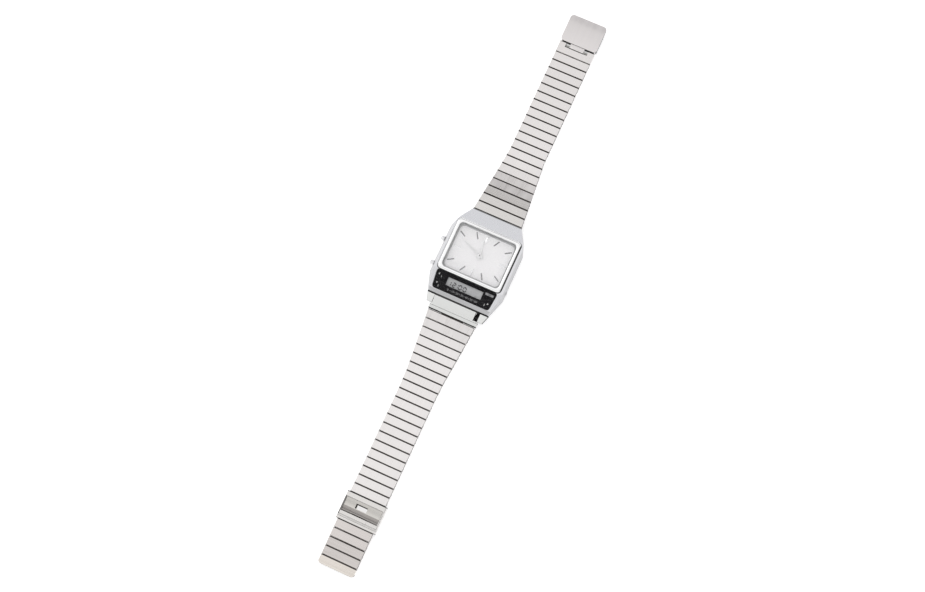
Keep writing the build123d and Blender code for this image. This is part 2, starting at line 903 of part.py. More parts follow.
def run_of_bars(prefix, side, pivot, widths, slopes, singles, tail=False):
    """Bars of one half, one to a node first, then two to a node; returns where they end."""
    count = len(slopes)
    index = 0
    while index < count:
        size = 1 if index < singles else min(pair_bar_count, count - index)
        slope = slopes[index]
        number = index + 1
        name = f"{prefix}_link_{number:02d}" if size == 1 \
            else f"{prefix}_links_{number:02d}_{number + size - 1:02d}"
        solids = []
        for bar in range(index, index + size):
            first = bar == 0 and side > 0
            last = tail and bar == count - 1
            bar_and_pin = bar_solids(widths[bar], widths[bar + 1], size == 1, first, last)
            solids += laid(bar_and_pin, side, pivot, slope)
            pivot = next_pivot(pivot, side, slope, bar_pitch)
        add_node(name, solids)
        index += size
    return pivot


def slope_for(drop, length):
    """The slope, in degrees, on which a length comes down by a drop."""
    return degrees(asin(drop / length))


def drape(start_height, shares):
    """Slopes of the bars that bring a half down from its first pivot to the surface."""
    drop = start_height - half_bar
    return [slope_for(drop * share, bar_pitch) for share in shares]


def upper_half():
    """Twenty bars from the 12 o'clock end of the case to the clasp cover."""
    slopes = drape(upper_bar_height, upper_drape_shares)
    slopes += [0.0] * (upper_bar_count - len(slopes))
    widths = tapered_widths(bracelet_case_width, upper_bar_count)
    start = (upper_bar_station, upper_bar_height)
    pivot = run_of_bars("upper", 1, start, widths, slopes, upper_single_count)
    add_node("clasp_end_link", laid([clasp_end_link()], 1, pivot, 0.0))
    hinge = next_pivot(pivot, 1, 0.0, cover_hinge_reach)
    add_node("cover_hinge_pin", laid([cover_hinge_pin()], 1, hinge, 0.0))
    add_node("clasp_cover", laid([clasp_cover()], 1, hinge, 0.0))


cover_hinge_reach = bar_start + clasp_end_length - cover_pin_inset
cover_width = bracelet_clasp_width + 2 * cover_overhang
cover_recess_width = bracelet_clasp_width - 2 * cover_recess_cheek
cover_knuckle_width = cover_recess_width - 2 * cover_knuckle_gap


def clasp_end_link():
    """The last piece of the upper half, open in the middle where the cover hinges."""
    end = bar_start + clasp_end_length
    link = bar_blank(bracelet_clasp_width, bracelet_clasp_width, end)
    link += tongue(bracelet_clasp_width * tongue_share, tongue_radius, pin_radius + pin_clearance)
    depth = cover_recess_depth + overrun
    recess = Box(cover_recess_width, depth, 2 * bar_thickness)
    link -= Pos(0, end - cover_recess_depth + depth / 2, 0) * recess
    bore = cross_rod(cover_pin_radius, bracelet_clasp_width + overrun, end - cover_pin_inset,
                     sides=head_side_count, bore=True)
    return link - bore


def cover_hinge_pin():
    return cross_rod(cover_pin_radius, bracelet_clasp_width - 2 * pin_sink, sides=head_side_count)


def clasp_cover():
    """A shallow pressed cover with turned down sides, a bent lip and a hinge knuckle."""
    swing = hypot(cover_pin_inset - bar_bevel, half_bar)
    start = swing + cover_swing_clearance
    end = start + cover_length
    bend = end - cover_lip_length
    plan = soft_face(mirrored([(cover_width / 2, end), (cover_width / 2, start)]), cover_round)
    side_view = Plane.YZ * make_face(Polyline(
        (start, -half_bar), (start, half_bar), (bend, half_bar),
        (end, half_bar - cover_lip_drop), (end, half_bar - cover_lip_drop - cover_skin),
        (start + cover_flange_length, -half_bar), close=True))
    under_view = Plane.YZ * make_face(Polyline(
        (start + cover_skin, -bar_thickness), (start + cover_skin, half_bar - cover_skin),
        (bend, half_bar - cover_skin), (end + overrun, half_bar - cover_lip_drop - 2 * cover_skin),
        (end + overrun, -bar_thickness), close=True))
    shell = extrude(side_view, cover_width, both=True) & prism(plan, -half_bar, half_bar)
    shell -= extrude(under_view, cover_width / 2 - cover_skin, both=True)
    reach = start + cover_skin
    knuckle = cross_rod(cover_knuckle_radius, cover_knuckle_width, sides=head_side_count)
    web = Pos(0, reach / 2, cover_knuckle_radius - cover_knuckle_height) * Box(
        cover_knuckle_width, reach, 2 * cover_knuckle_height)
    hinge_end = knuckle + web
    bore = cross_rod(cover_pin_radius + pin_clearance, cover_knuckle_width + overrun,
                     sides=head_side_count, bore=True)
    return shell + hinge_end - bore


def lower_end_link():
    """The end piece between the lugs, notched beside the right lug over the spring bar."""
    width = lug_gap_width - 2 * lug_gap_clearance
    half_outer = bracelet_lower_case_width / 2
    nose = end_link_nose_start
    end = end_link_length + nose
    top = end_link_crown
    low = end_link_crown - end_link_thickness
    side_view = Plane.YZ * make_face(Polyline(
        (nose, low + end_link_nose / 2), (nose, top), (end - end_link_crease, top),
        (end, top - end_link_crease_drop), (end, low), (nose + end_link_nose / 2, low),
        close=True))
    lug_reach = -(case_low_end - lower_bar_station) + bar_gap
    plan = face_of(mirrored([
        (half_outer, end), (half_outer, lug_reach), (width / 2, lug_reach), (width / 2, nose)]))
    link = extrude(side_view, half_outer, both=True) & prism(plan, -bar_thickness, bar_thickness)
    link -= cross_rod(spring_bar_radius + spring_bar_clearance,
                      bracelet_lower_case_width + overrun, bore=True)
    notch_end = lug_reach - end_notch_wall
    notch_length = notch_end - nose + overrun
    notch = Pos(-(width - end_notch_width + overrun) / 2, notch_end - notch_length / 2, 0) * Box(
        end_notch_width + overrun, notch_length, 2 * bar_thickness)
    link -= notch
    pivot = end - pin_inset
    slot_width = bracelet_lower_case_width * tongue_share + 2 * tongue_side_clearance
    link -= Pos(0, 0, end_link_pivot_drop) * slot_cut(slot_width, pivot, end)
    link -= cross_rod(pin_radius, bracelet_lower_case_width + overrun, pivot, end_link_pivot_drop,
                      bore=True)
    pin = cross_rod(pin_radius, bracelet_lower_case_width - 2 * pin_sink, pivot, end_link_pivot_drop)
    return [link, pin]


end_link_pivot_drop = end_link_crown - end_link_crease_drop - half_bar
end_link_nose_start = lower_bar_station - lip_station + end_link_seat_gap
end_link_pivot_reach = end_link_length + end_link_nose_start - pin_inset
slider_lift = slider_floor + slider_under_clearance
slider_start = bar_start + hidden_bar_count * bar_pitch / 2 - slider_length / 2 - bar_gap / 2
channel_low = -half_bar - slider_under_clearance
channel_high = half_bar + slider_over_clearance
slider_low = channel_low - slider_floor
slider_high = slider_low + slider_height
channel_half_width = bracelet_clasp_width / 2 + slider_side_clearance
crossbar_start = slider_length - far_step_length - crossbar_length
lock_pin_reach = crossbar_start - lock_barrel_gap - lock_barrel_radius
lock_pin_rise = channel_high + lock_barrel_gap + lock_barrel_radius


def slider_frame():
    """The sliding buckle: a channel round the bars, a near strip, a crossbar and a low step.

    It is drawn with its inner edge at the origin, at mid thickness of the bars in it."""
    half_width = channel_half_width + slider_wall
    middle = slider_length / 2
    middle_z = (slider_low + slider_high) / 2
    frame = Pos(0, middle, middle_z) * Box(2 * half_width, slider_length, slider_height)
    frame = fillet(frame.edges().filter_by(Axis.Y).group_by(Axis.Z)[-1], slider_wall_round)
    channel_middle = (channel_low + channel_high) / 2
    frame -= Pos(0, middle, channel_middle) * Box(
        2 * channel_half_width, slider_length + overrun, channel_high - channel_low)
    window_length = crossbar_start - near_strip_length
    frame -= Pos(0, near_strip_length + window_length / 2, slider_high) * Box(
        2 * channel_half_width, window_length, 2 * (slider_high - channel_low))
    step_top = channel_high + far_step_height
    frame -= Pos(0, slider_length - far_step_length / 2 + overrun / 2, step_top + slider_high / 2) * Box(
        2 * case_width, far_step_length + overrun, slider_high)
    frame += Pos(0, crossbar_start + crossbar_length / 2, slider_high + crossbar_bump / 2) * Box(
        bracelet_clasp_width * crossbar_bump_share, crossbar_length, crossbar_bump)
    frame -= Pos(0, middle, slider_low) * Box(
        bracelet_clasp_width * floor_window_width_share, slider_length * floor_window_length_share,
        2 * slider_floor + overrun / 2)
    return frame - cross_rod(lock_pin_radius, 2 * half_width + overrun, lock_pin_reach,
                             lock_pin_rise, bore=True)


def lock_pin():
    length = 2 * (channel_half_width + slider_wall)
    return cross_rod(lock_pin_radius, length, lock_pin_reach, lock_pin_rise)


def lock_plate():
    """The dished plate that locks the buckle, with a pry slot round its raised tab.

    It is drawn on its pin, with its free edge towards the case."""
    half_width = channel_half_width - lock_plate_side_gap
    reach = lock_pin_reach - near_strip_length - lock_plate_end_gap
    low = channel_high + lock_plate_under_gap + lock_plate_dish - lock_pin_rise
    high = low + lock_plate_thickness
    under = ThreePointArc((0, low), (-reach / 2, low - lock_plate_dish), (-reach, low))
    over = ThreePointArc((-reach, high), (-reach / 2, high - lock_plate_dish), (0, high))
    profile = make_face([under, Line((-reach, low), (-reach, high)), over, Line((0, high), (0, low))])
    plate = extrude(Plane.YZ * profile, half_width, both=True)
    plate += cross_rod(lock_barrel_radius, 2 * half_width, sides=head_side_count)
    slot_y = -reach + pry_slot_offset
    slot = Pos(pry_slot_shift, slot_y, 0) * Box(pry_slot_width, pry_slot_height, slider_height)
    leg_x = pry_slot_shift + (pry_slot_width - pry_slot_leg_width) / 2
    leg_y = slot_y + (pry_slot_leg - pry_slot_height) / 2
    slot += Pos(leg_x, leg_y, 0) * Box(pry_slot_leg_width, pry_slot_leg, slider_height)
    bore = cross_rod(lock_pin_radius + pin_clearance, 2 * half_width + overrun, bore=True)
    return plate - slot - bore


def lower_pivot():
    """The pivot between the lower end link and the first bar below it."""
    slope = radians(end_link_slope)
    return (
        lower_bar_station - end_link_pivot_reach * cos(slope) - end_link_pivot_drop * sin(slope),
        lower_bar_height - end_link_pivot_reach * sin(slope) + end_link_pivot_drop * cos(slope),
    )


def lower_half():
    """The end link, twenty-one bars, the sliding buckle on its track and the tail."""
    start = (lower_bar_station, lower_bar_height)
    add_node("lower_end_link", laid(lower_end_link(), -1, start, end_link_slope))
    pivot = lower_pivot()
    slopes = drape(pivot[1], lower_drape_shares)
    slopes += [0.0] * (lower_bar_count - len(slopes) - rise_bar_count)
    slopes += [-slope_for(slider_lift, rise_bar_count * bar_pitch)] * rise_bar_count
    widths = tapered_widths(bracelet_lower_case_width, lower_bar_count)
    pivot = run_of_bars("lower", -1, pivot, widths, slopes, lower_single_count)
    buckle = next_pivot(pivot, -1, 0.0, slider_start)
    add_node("clasp_slider", laid([slider_frame(), lock_pin()], -1, buckle, 0.0))
    lock_pivot = (buckle[0] - lock_pin_reach, buckle[1] + lock_pin_rise)
    add_node("slider_lock_plate", laid([lock_plate()], -1, lock_pivot, 0.0))
    solids = []
    for bar in range(track_bar_count):
        bar_and_pin = bar_solids(bracelet_clasp_width, bracelet_clasp_width, False)
        solids += laid(bar_and_pin, -1, pivot, 0.0)
        pivot = next_pivot(pivot, -1, 0.0, bar_pitch)
    add_node("slider_track_links", solids)
    tail_slope = slope_for(slider_lift, tail_bar_count * bar_pitch)
    tail_widths = [bracelet_clasp_width] * (tail_bar_count + 1)
    run_of_bars("tail", -1, pivot, tail_widths, [tail_slope] * tail_bar_count, tail_bar_count, True)


def export_node(name, solids):
    shape = solids[0] if len(solids) == 1 else Compound(children=solids)
    shape.label = name
    export_step(shape, f"parts/{name}.step")


def main():
    os.makedirs("parts", exist_ok=True)
    add_node("case_body", case_body())
    add_node("bezel_frame", bezel_frame())
    add_node("dial_crystal", dial_crystal())
    add_node("display_glass", display_glass())
    add_node("display_mask", display_mask())
    add_node("lcd_cell", lcd_cell())
    add_node("dial_plate", dial_plate())
    add_node("dial_surround", dial_surround())
    add_node("hour_markers", hour_markers())
    add_node("hour_hand", hour_hand())
    add_node("minute_hand", minute_hand())
    add_node("movement_module", movement_module())
    add_node("circuit_board", circuit_board())
    add_node("battery_cell", battery_cell())
    add_node("battery_clip", battery_clip())
    add_node("piezo_buzzer", piezo_buzzer())
    add_node("back_gasket", back_gasket())
    add_node("case_back", case_back())
    add_node("back_screws", back_screws())
    add_node("spring_bars", spring_bars())
    for name, place in button_places.items():
        add_node(name, push_button(*place))
    upper_half()
    lower_half()
    for name, solids in nodes.items():
        export_node(name, solids)


main()
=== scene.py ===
import json
import math
import random
from contextlib import contextmanager
import bmesh
import bpy
from mathutils import Matrix, Vector

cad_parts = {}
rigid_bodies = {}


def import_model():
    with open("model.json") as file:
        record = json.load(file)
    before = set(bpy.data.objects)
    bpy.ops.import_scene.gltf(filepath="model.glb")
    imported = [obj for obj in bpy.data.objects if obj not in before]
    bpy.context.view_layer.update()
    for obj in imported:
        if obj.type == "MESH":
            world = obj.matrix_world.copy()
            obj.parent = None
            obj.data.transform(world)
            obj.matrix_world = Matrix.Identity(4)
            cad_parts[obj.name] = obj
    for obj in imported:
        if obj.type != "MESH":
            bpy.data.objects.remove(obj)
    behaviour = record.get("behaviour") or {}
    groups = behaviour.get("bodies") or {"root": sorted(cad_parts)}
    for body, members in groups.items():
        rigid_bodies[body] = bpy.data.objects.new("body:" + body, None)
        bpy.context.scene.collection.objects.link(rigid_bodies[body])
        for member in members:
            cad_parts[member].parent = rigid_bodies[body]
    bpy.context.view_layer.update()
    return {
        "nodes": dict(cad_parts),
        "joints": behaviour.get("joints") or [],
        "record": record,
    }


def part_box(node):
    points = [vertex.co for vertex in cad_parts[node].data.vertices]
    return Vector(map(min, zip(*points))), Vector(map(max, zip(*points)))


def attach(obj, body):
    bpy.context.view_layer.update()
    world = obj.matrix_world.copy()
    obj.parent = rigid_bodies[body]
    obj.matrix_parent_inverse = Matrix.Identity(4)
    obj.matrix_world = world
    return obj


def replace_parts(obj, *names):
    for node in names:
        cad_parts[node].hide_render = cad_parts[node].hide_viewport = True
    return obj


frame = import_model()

MM = 0.001

# Sizes of the bracelet that its dressed bars share with the solids, in millimetres.
BAR_PITCH = 3.45
BAR_THICKNESS = 2.2
BAR_START = 1.204
BAR_END = 4.4
PIN_RADIUS = 0.35
PIN_SINK = 0.15
BORE_PLAY = 0.03
PIN_HOLE_PLAY = 0.02
TONGUE_RADIUS = 0.62
TONGUE_SHARE = 0.46
TONGUE_SIDE = 0.15
KNUCKLE_ROOT = 0.3
SLOT_END = 0.12
SLOT_TOP = 0.753
CLASP_WIDTH = 14.1
UPPER_WIDTH = 19.6
LOWER_WIDTH = 19.0
TAPERING_BARS = 8
TAIL_CORNER = 1.2
FIRST_TONGUE_RADIUS = 0.92
FIRST_BORE_RADIUS = 0.7

# Trim that only the dressed bars have, in millimetres.
BAR_LIP = 0.21
INNER_LIP = 0.09
LIP_ROOT = 0.2
LIP_RISE = 0.05
LIP_END_INSET = 0.3
BAR_TOP_ROUND = 0.15
BAR_SIDE_CHAMFER = 0.13
BAR_FOOT_ROUND = 0.1

# Places on the watch head, in millimetres.
DIAL_Y = 3.25
DIAL_TOP = 5.3
PANEL_START = -7.05
PANEL_TILT = math.radians(8.0)
DECK = 6.6
SEAT = 6.3
FRAME_HALF_WIDTH = 12.7
FRAME_HALF_LENGTH = 10.25
FRAME_ROUND = 1.6
FRAME_RISE = 1.0
FRAME_BAR = 1.3
CRYSTAL_PLAY = 0.13
RING_INSET = 1.65
SEAM_WIDTH = 0.2
SEAM_HEIGHT = 0.015
LIP_Y = -15.8
CASE_END_Y = 19.4
CREASE_Y = -20.0
END_LINK_END = -21.15

# The screws of the back, in millimetres.
SCREW_SPOTS = ((9.6, 15.0), (-9.6, 15.0), (10.7, -13.6), (-10.7, -13.6))
SCREW_HEAD_RADIUS = 0.85
SCREW_HEAD_HEIGHT = 0.35
SCREW_HEAD_ROUND = 0.1
SCREW_SHANK_RADIUS = 0.45
SCREW_LENGTH = 3.0
RECESS_REACH = 0.55
RECESS_HALF_WIDTH = 0.12
RECESS_DEPTH = 0.2

# The dial's markers and hands, in millimetres and degrees clockwise from noon.
MARKER_LENGTH = 2.6
MARKER_WIDTH = 0.42
NOON_WIDTH = 0.95
MARKER_HEIGHT = 0.2
HAND_TAIL = 1.6
HAND_THICKNESS = 0.15
HAND_TIP_SHARE = 0.45
HUB_RADIUS = 0.95
HUB_ROUND = 0.05
HOUR_HAND_LENGTH = 5.9
HOUR_HAND_WIDTH = 0.85
HOUR_HAND_BASE = 5.55
HOUR_HAND_TURN = 354.3
HOUR_PIPE_RADIUS = 0.75
HOUR_PIPE_DEPTH = 1.4
HOUR_BORE_RADIUS = 0.5
MINUTE_HAND_LENGTH = 7.7
MINUTE_HAND_WIDTH = 0.7
MINUTE_HAND_BASE = 5.95
MINUTE_HAND_TURN = 291.6
MINUTE_HUB_HEIGHT = 0.13
CANNON_RADIUS = 0.45
CANNON_DEPTH = 2.7
CANNON_TOP = 0.3
CANNON_ROUND = 0.08
CENTRE_RADIUS = 0.24
CENTRE_FOOT = 0.28
CENTRE_TOP = 0.35
CENTRE_ROUND = 0.03

# The panel's layers, and the digits and print on them, in millimetres.
COVER_THICKNESS = 0.8
MASK_THICKNESS = 0.15
COVER_PROUD = 0.05
MASK_UNDERSIDE = -(COVER_THICKNESS + MASK_THICKNESS - COVER_PROUD)
MASK_TOP = MASK_UNDERSIDE + MASK_THICKNESS
DIGIT_LEVEL = MASK_UNDERSIDE - 0.5
DIGIT_DEPTH = 0.02
DIGIT_START = -6.45
DIGIT_STATION = -11.3
DIGIT_HEIGHT = 1.95
DIGIT_WIDTH = 1.5
DIGIT_STROKE = 0.42
DIGIT_STEP = 1.85
COLON_STEP = 0.55
COLON_DOT = 0.3
COLON_HEIGHTS = (0.45, 1.2)
PRINT_DEPTH = 0.016
CAPITAL_SHARE = 0.7
POINTER_NUMBER_HEIGHT = 0.75
SCALE_NUMBER_HEIGHT = 0.8
SCALE_STEP = 1.86
SCALE_START = -5.45
SCALE_STATION = -12.95
TICK_START = -4.52
TICK_STATION = -13.2
TICK_HALF_WIDTH = 0.06
TICK_LENGTH = 0.5
PLAQUE_STATION = -8.75
PLAQUE_SIDES = (7.8, 11.0)
PLAQUE_HALF_HEIGHT = 0.42
PLAQUE_DEPTH = 0.01
PLAQUE_NUMBER_HEIGHT = 0.6

# Stations along the watch, sides and levels where a finish or a painted shade changes, in millimetres.
GROOVE_WIDTH = 0.5
LUG_START = LIP_Y - 0.4
LUG_TOP = 4.35
LUG_SHOULDER = 3.9
LIP_REACH = 1.45
LUG_WALL = (8.9, 9.4)
CASE_BAND_START = CASE_END_Y - 0.35
NOTCH_SIDE = 7.0
NOTCH_END = -19.9
LINE_HALF_WIDTH = 0.06
COVER_START = 87.0
COVER_HINGE = (90.4, 93.7)
COVER_SLOT_SIDE = 6.6
SLIDER_START = -94.1
SLIDER_WALL_START = -95.6
SLIDER_LINES = (-102.5, -103.2)
SLIDER_FOOT = -104.1
SLIDER_WALL_SIDE = -7.0
SLIDER_OPENING_SIDE = 7.2
PLATE_BREAK = -99.0

# A normal faces one way when its share of that direction is above one of these.
FACING = 0.5
STEEP = 0.6

# The ways that a brushed grain runs, as a stretch of the noise that makes it.
ALONG_X = (0.04, 1, 1)
ALONG_Y = (1, 0.04, 1)

# A bar's block has two materials, and its rubbed edges have the second.
RUBBED = 1

nodes = frame["nodes"]
body_of_node = {node: body for body, members in frame["record"]["behaviour"]["bodies"].items()
                for node in members}
slot_of_node = {part["node"]: part["material_slot"] for part in frame["record"]["subparts"]}


def added(name, data):
    """A new object in the scene."""
    thing = bpy.data.objects.new(name, data)
    bpy.context.scene.collection.objects.link(thing)
    return thing


def drop(thing):
    bpy.data.objects.remove(thing, do_unlink=True)


def camera():
    """The photograph's view: well above the watch, turned so that it lies corner to corner."""
    data = bpy.data.cameras.new("camera")
    data.sensor_width = 36.0
    data.lens = 61.9
    data.clip_start = 0.02
    data.clip_end = 20.0
    eye = added("camera", data)
    eye.location = (0.06820, -0.11236, 0.57330)
    eye.rotation_euler = [math.radians(angle) for angle in (11.787, 2.052, 24.505)]
    bpy.context.scene.camera = eye


# Node trees.


def add_node(tree, kind, inputs=(), **settings):
    """A new node whose inputs are set to values, or linked to other nodes or their outputs."""
    node = tree.nodes.new(kind)
    for key, value in settings.items():
        setattr(node, key, value)
    for key, value in dict(inputs).items():
        feed(tree, value, node.inputs[key])
    return node


def feed(tree, value, socket):
    """Set a socket to a value, or link it; a node stands for its first output."""
    if isinstance(value, bpy.types.Node):
        value = value.outputs[0]
    if isinstance(value, bpy.types.NodeSocket):
        tree.links.new(value, socket)
    else:
        socket.default_value = value


# Materials.


class Shader:
    """A small helper that adds and links the nodes of one material."""

    def __init__(self, name):
        self.material = bpy.data.materials.new(name)
        self.material.use_nodes = True
        self.tree = self.material.node_tree
        self.surface = self.tree.nodes["Principled BSDF"]
        self.place = self.add("ShaderNodeTexCoord").outputs["Object"]

    def add(self, kind, inputs=(), **settings):
        return add_node(self.tree, kind, inputs, **settings)

    def put(self, **values):
        """Set the surface's inputs; an underscore stands for a space in an input's name."""
        for key, value in values.items():
            feed(self.tree, value, self.surface.inputs[key.replace("_", " ")])

    def noise(self, scale, detail=3.0, roughness=0.5, stretch=(1, 1, 1), turn=(0, 0, 0)):
        mapping = self.add("ShaderNodeMapping",
                           {"Vector": self.place, "Scale": stretch, "Rotation": turn})
        noise = self.add("ShaderNodeTexNoise", {
            "Vector": mapping, "Scale": scale, "Detail": detail, "Roughness": roughness})
        return noise.outputs["Fac"]

    def ramp(self, source, start, end, low=0.3, high=0.7):
        """Map a span of values, by default the middle of a noise, on to another, held at its ends."""
        node = self.add("ShaderNodeMapRange", {
            "Value": source, "From Min": low, "From Max": high, "To Min": start, "To Max": end})
        return node.outputs["Result"]

    def combine(self, first, second, operation="ADD"):
        """A sum of two numbers, or the outcome of another operation on them."""
        return self.add("ShaderNodeMath", {0: first, 1: second}, operation=operation)

    def mix(self, share, first, second):
        """A colour between two others, each a tuple or another mix."""
        share_input, first_input, second_input, color_output = 0, 6, 7, 2
        inputs = {share_input: share}
        for key, color in ((first_input, first), (second_input, second)):
            inputs[key] = (*color, 1.0) if isinstance(color, tuple) else color
        return self.add("ShaderNodeMix", inputs, data_type="RGBA").outputs[color_output]

    def bump(self, height, strength, distance):
        node = self.add("ShaderNodeBump", {"Strength": strength, "Distance": distance, "Height": height})
        self.put(Normal=node.outputs["Normal"])


def toned(color, share, most=1.0):
    """A colour made darker or lighter by a share, with no channel above the most."""
    return tuple(min(channel * share, most) for channel in color)


def brushed_steel(name, color, grain=ALONG_X, roughness=0.27, scale=1600.0, depth=0.2, cloud=0.05):
    """Steel with a straight grain and a soft cloudiness."""
    shader = Shader(name)
    fine = shader.noise(scale, 4.0, 0.6, grain)
    coarse = shader.noise(scale * 0.24, 3.0, 0.55, grain)
    soft = shader.noise(55.0, 2.0)
    streaks = shader.combine(shader.ramp(fine, -1, 1), shader.ramp(coarse, -0.8, 0.8))
    tone = shader.combine(shader.combine(streaks, cloud, "MULTIPLY"),
                          shader.ramp(soft, -cloud * 0.6, cloud * 0.6))
    shader.put(Base_Color=shader.mix(shader.combine(tone, 0.5), toned(color, 0.80),
                                     toned(color, 1.16, 0.97)),
               Roughness=shader.ramp(streaks, roughness - 0.07, roughness + 0.09, -1.5, 1.5),
               Metallic=1.0)
    shader.bump(streaks, depth, 0.00002)
    return shader.material


def polished_metal(name, color, roughness=0.08):
    """Mirror-bright metal with faint smudges and hairline scratches."""
    shader = Shader(name)
    soft = shader.noise(140.0, 4.0, 0.6)
    hair = shader.noise(260.0, 2.0, 0.5, (1, 26, 26), (0, 0, 0.7))
    shader.put(Base_Color=shader.mix(shader.ramp(soft, 0, 0.5, 0.35, 0.7), color, toned(color, 0.9)),
               Roughness=shader.combine(shader.ramp(soft, roughness, roughness + 0.05, 0.3, 0.75),
                                        shader.ramp(hair, 0, 0.06, 0.66, 0.74)),
               Metallic=1.0)
    shader.bump(hair, 0.08, 0.00001)
    return shader.material


def glass(name, color, alpha):
    """Clear glass, with a few soft wipe marks that show in its gloss."""
    shader = Shader(name)
    wipe = shader.noise(70.0, 3.0, 0.5, (1, 3, 1), (0, 0, 0.5))
    shader.put(Base_Color=shader.mix(shader.ramp(wipe, 0, 0.3, 0.3, 0.8), color, toned(color, 0.94)),
               Roughness=shader.ramp(wipe, 0.02, 0.08, 0.4, 0.75), Alpha=alpha, IOR=1.5)
    return shader.material


def lacquer(name, color, roughness, speck=0.03, scale=2200.0, gloss=0.5, depth=0.15):
    """Paint, print or moulded plastic: an even colour with a fine grain and a soft unevenness."""
    shader = Shader(name)
    grain = shader.noise(scale, 3.0, 0.6)
    soft = shader.noise(120.0, 3.0)
    base = shader.mix(shader.ramp(grain, 0, 1), toned(color, 1 - speck), toned(color, 1 + speck))
    shader.put(Base_Color=shader.mix(shader.ramp(soft, 0, 0.35), base, toned(color, 1 - 2 * speck)),
               Roughness=shader.ramp(soft, roughness * 0.85, roughness * 1.15),
               Specular_IOR_Level=gloss)
    shader.bump(grain, depth, 0.00001)
    return shader.material


def dial_lacquer():
    """White dial paint with a faint pressed grain of rays from the centre."""
    shader = Shader("dial_white")
    mapping = shader.add("ShaderNodeMapping", {"Vector": shader.place, "Location": (0, -DIAL_Y * MM, 0)})
    rays = shader.add("ShaderNodeTexGradient", {"Vector": mapping}, gradient_type="RADIAL")
    spokes = shader.add("ShaderNodeTexNoise", {
        "W": rays.outputs["Fac"], "Scale": 420.0, "Detail": 3.0}, noise_dimensions="1D").outputs["Fac"]
    shader.put(Base_Color=shader.mix(shader.ramp(spokes, 0, 1), (0.97, 0.955, 0.965),
                                     (1.0, 0.985, 0.995)),
               Roughness=0.34)
    shader.bump(shader.combine(spokes, shader.noise(1700.0, 3.0, 0.6)), 0.12, 0.00001)
    return shader.material


def liquid_crystal():
    """The grey cell behind the digits, slightly uneven, with a fine grain."""
    shader = Shader("lcd_grey")
    base = shader.mix(shader.ramp(shader.noise(160.0, 2.0), 0, 1), (0.66, 0.665, 0.675),
                      (0.78, 0.785, 0.795))
    grain = shader.ramp(shader.noise(900.0, 2.0), 0, 0.25, 0.35, 0.65)
    shader.put(Base_Color=shader.mix(grain, base, (0.60, 0.605, 0.61)), Roughness=0.32)
    return shader.material


def circuit_laminate():
    """Green laminate with copper tracks under the lacquer."""
    shader = Shader("board_green")
    tracks = shader.add("ShaderNodeTexVoronoi", {"Vector": shader.place, "Scale": 520.0},
                        distance="MANHATTAN", feature="DISTANCE_TO_EDGE")
    copper = shader.ramp(tracks.outputs["Distance"], 1, 0, 0.05, 0.09)
    shader.put(Base_Color=shader.mix(copper, (0.03, 0.14, 0.07), (0.09, 0.28, 0.13)), Roughness=0.3)
    shader.bump(copper, 0.4, 0.00003)
    return shader.material


bar_steel = brushed_steel("bracelet_steel", (0.765, 0.74, 0.73), ALONG_Y, 0.30, 1500.0, 0.3, 0.07)
case_steel = brushed_steel("case_steel", (0.69, 0.69, 0.71), ALONG_Y, depth=0.12)
# Darker steel for the flanks and the flats beside the frame: painted shade on the sides of the case.
flank_steel = brushed_steel("flank_steel", (0.50, 0.50, 0.51), roughness=0.30, cloud=0.06)
# Darker steel for the lip below the panel: painted shade.
lip_steel = brushed_steel("lip_steel", (0.50, 0.50, 0.51))
button_steel = brushed_steel("button_steel", (0.80, 0.80, 0.81), roughness=0.22, depth=0.1, cloud=0.03)
back_steel = brushed_steel("back_steel", (0.62, 0.62, 0.63), ALONG_X, 0.30, 1100.0, 0.35, 0.07)
clasp_steel = brushed_steel("clasp_steel", (0.775, 0.745, 0.74), ALONG_Y, 0.36, 1900.0, 0.15, 0.04)
buckle_steel = brushed_steel("buckle_steel", (0.70, 0.68, 0.66), roughness=0.24, scale=1300.0)
pin_steel = brushed_steel("pin_steel", (0.50, 0.49, 0.47), roughness=0.3, scale=900.0, cloud=0.06)
# Dark steel for the faces between bars: painted shade in the gaps.
joint_steel = brushed_steel("joint_steel", (0.16, 0.14, 0.13), ALONG_X, 0.42, 900.0, 0.3, 0.12)
# Dark grey that paints shade: at the case's end over the first bar, on the cover's right side and in
# thin lines across the end piece and the buckle.
end_grey = brushed_steel("end_grey", (0.20, 0.20, 0.20), roughness=0.35)
# A darker copy of the bracelet steel for the first upper bars: painted shade where the bracelet slopes
# down from the case.
worn_steel = brushed_steel("worn_steel", (0.635, 0.615, 0.60))
last_steel = brushed_steel("last_steel", (0.79, 0.735, 0.68))
tail_steel = brushed_steel("tail_steel", (0.665, 0.625, 0.605))
end_steel = brushed_steel("end_steel", (0.705, 0.71, 0.70))
# The lock plate is lighter towards the case and darker beyond: the darker steel is a painted reflection
# in its dished far end.
plate_steel = polished_metal("plate_steel", (0.60, 0.58, 0.55), 0.24)
dish_steel = polished_metal("dish_steel", (0.35, 0.33, 0.315), 0.24)
tab_steel = polished_metal("tab_steel", (0.80, 0.79, 0.785), 0.24)
bright_steel = polished_metal("bezel_steel", (0.86, 0.86, 0.865))
edge_steel = polished_metal("rubbed_edge", (0.84, 0.825, 0.81), 0.14)
case_edge = polished_metal("case_edge", (0.80, 0.80, 0.82), 0.12)
hand_steel = polished_metal("hand_steel", (0.84, 0.835, 0.84), 0.36)
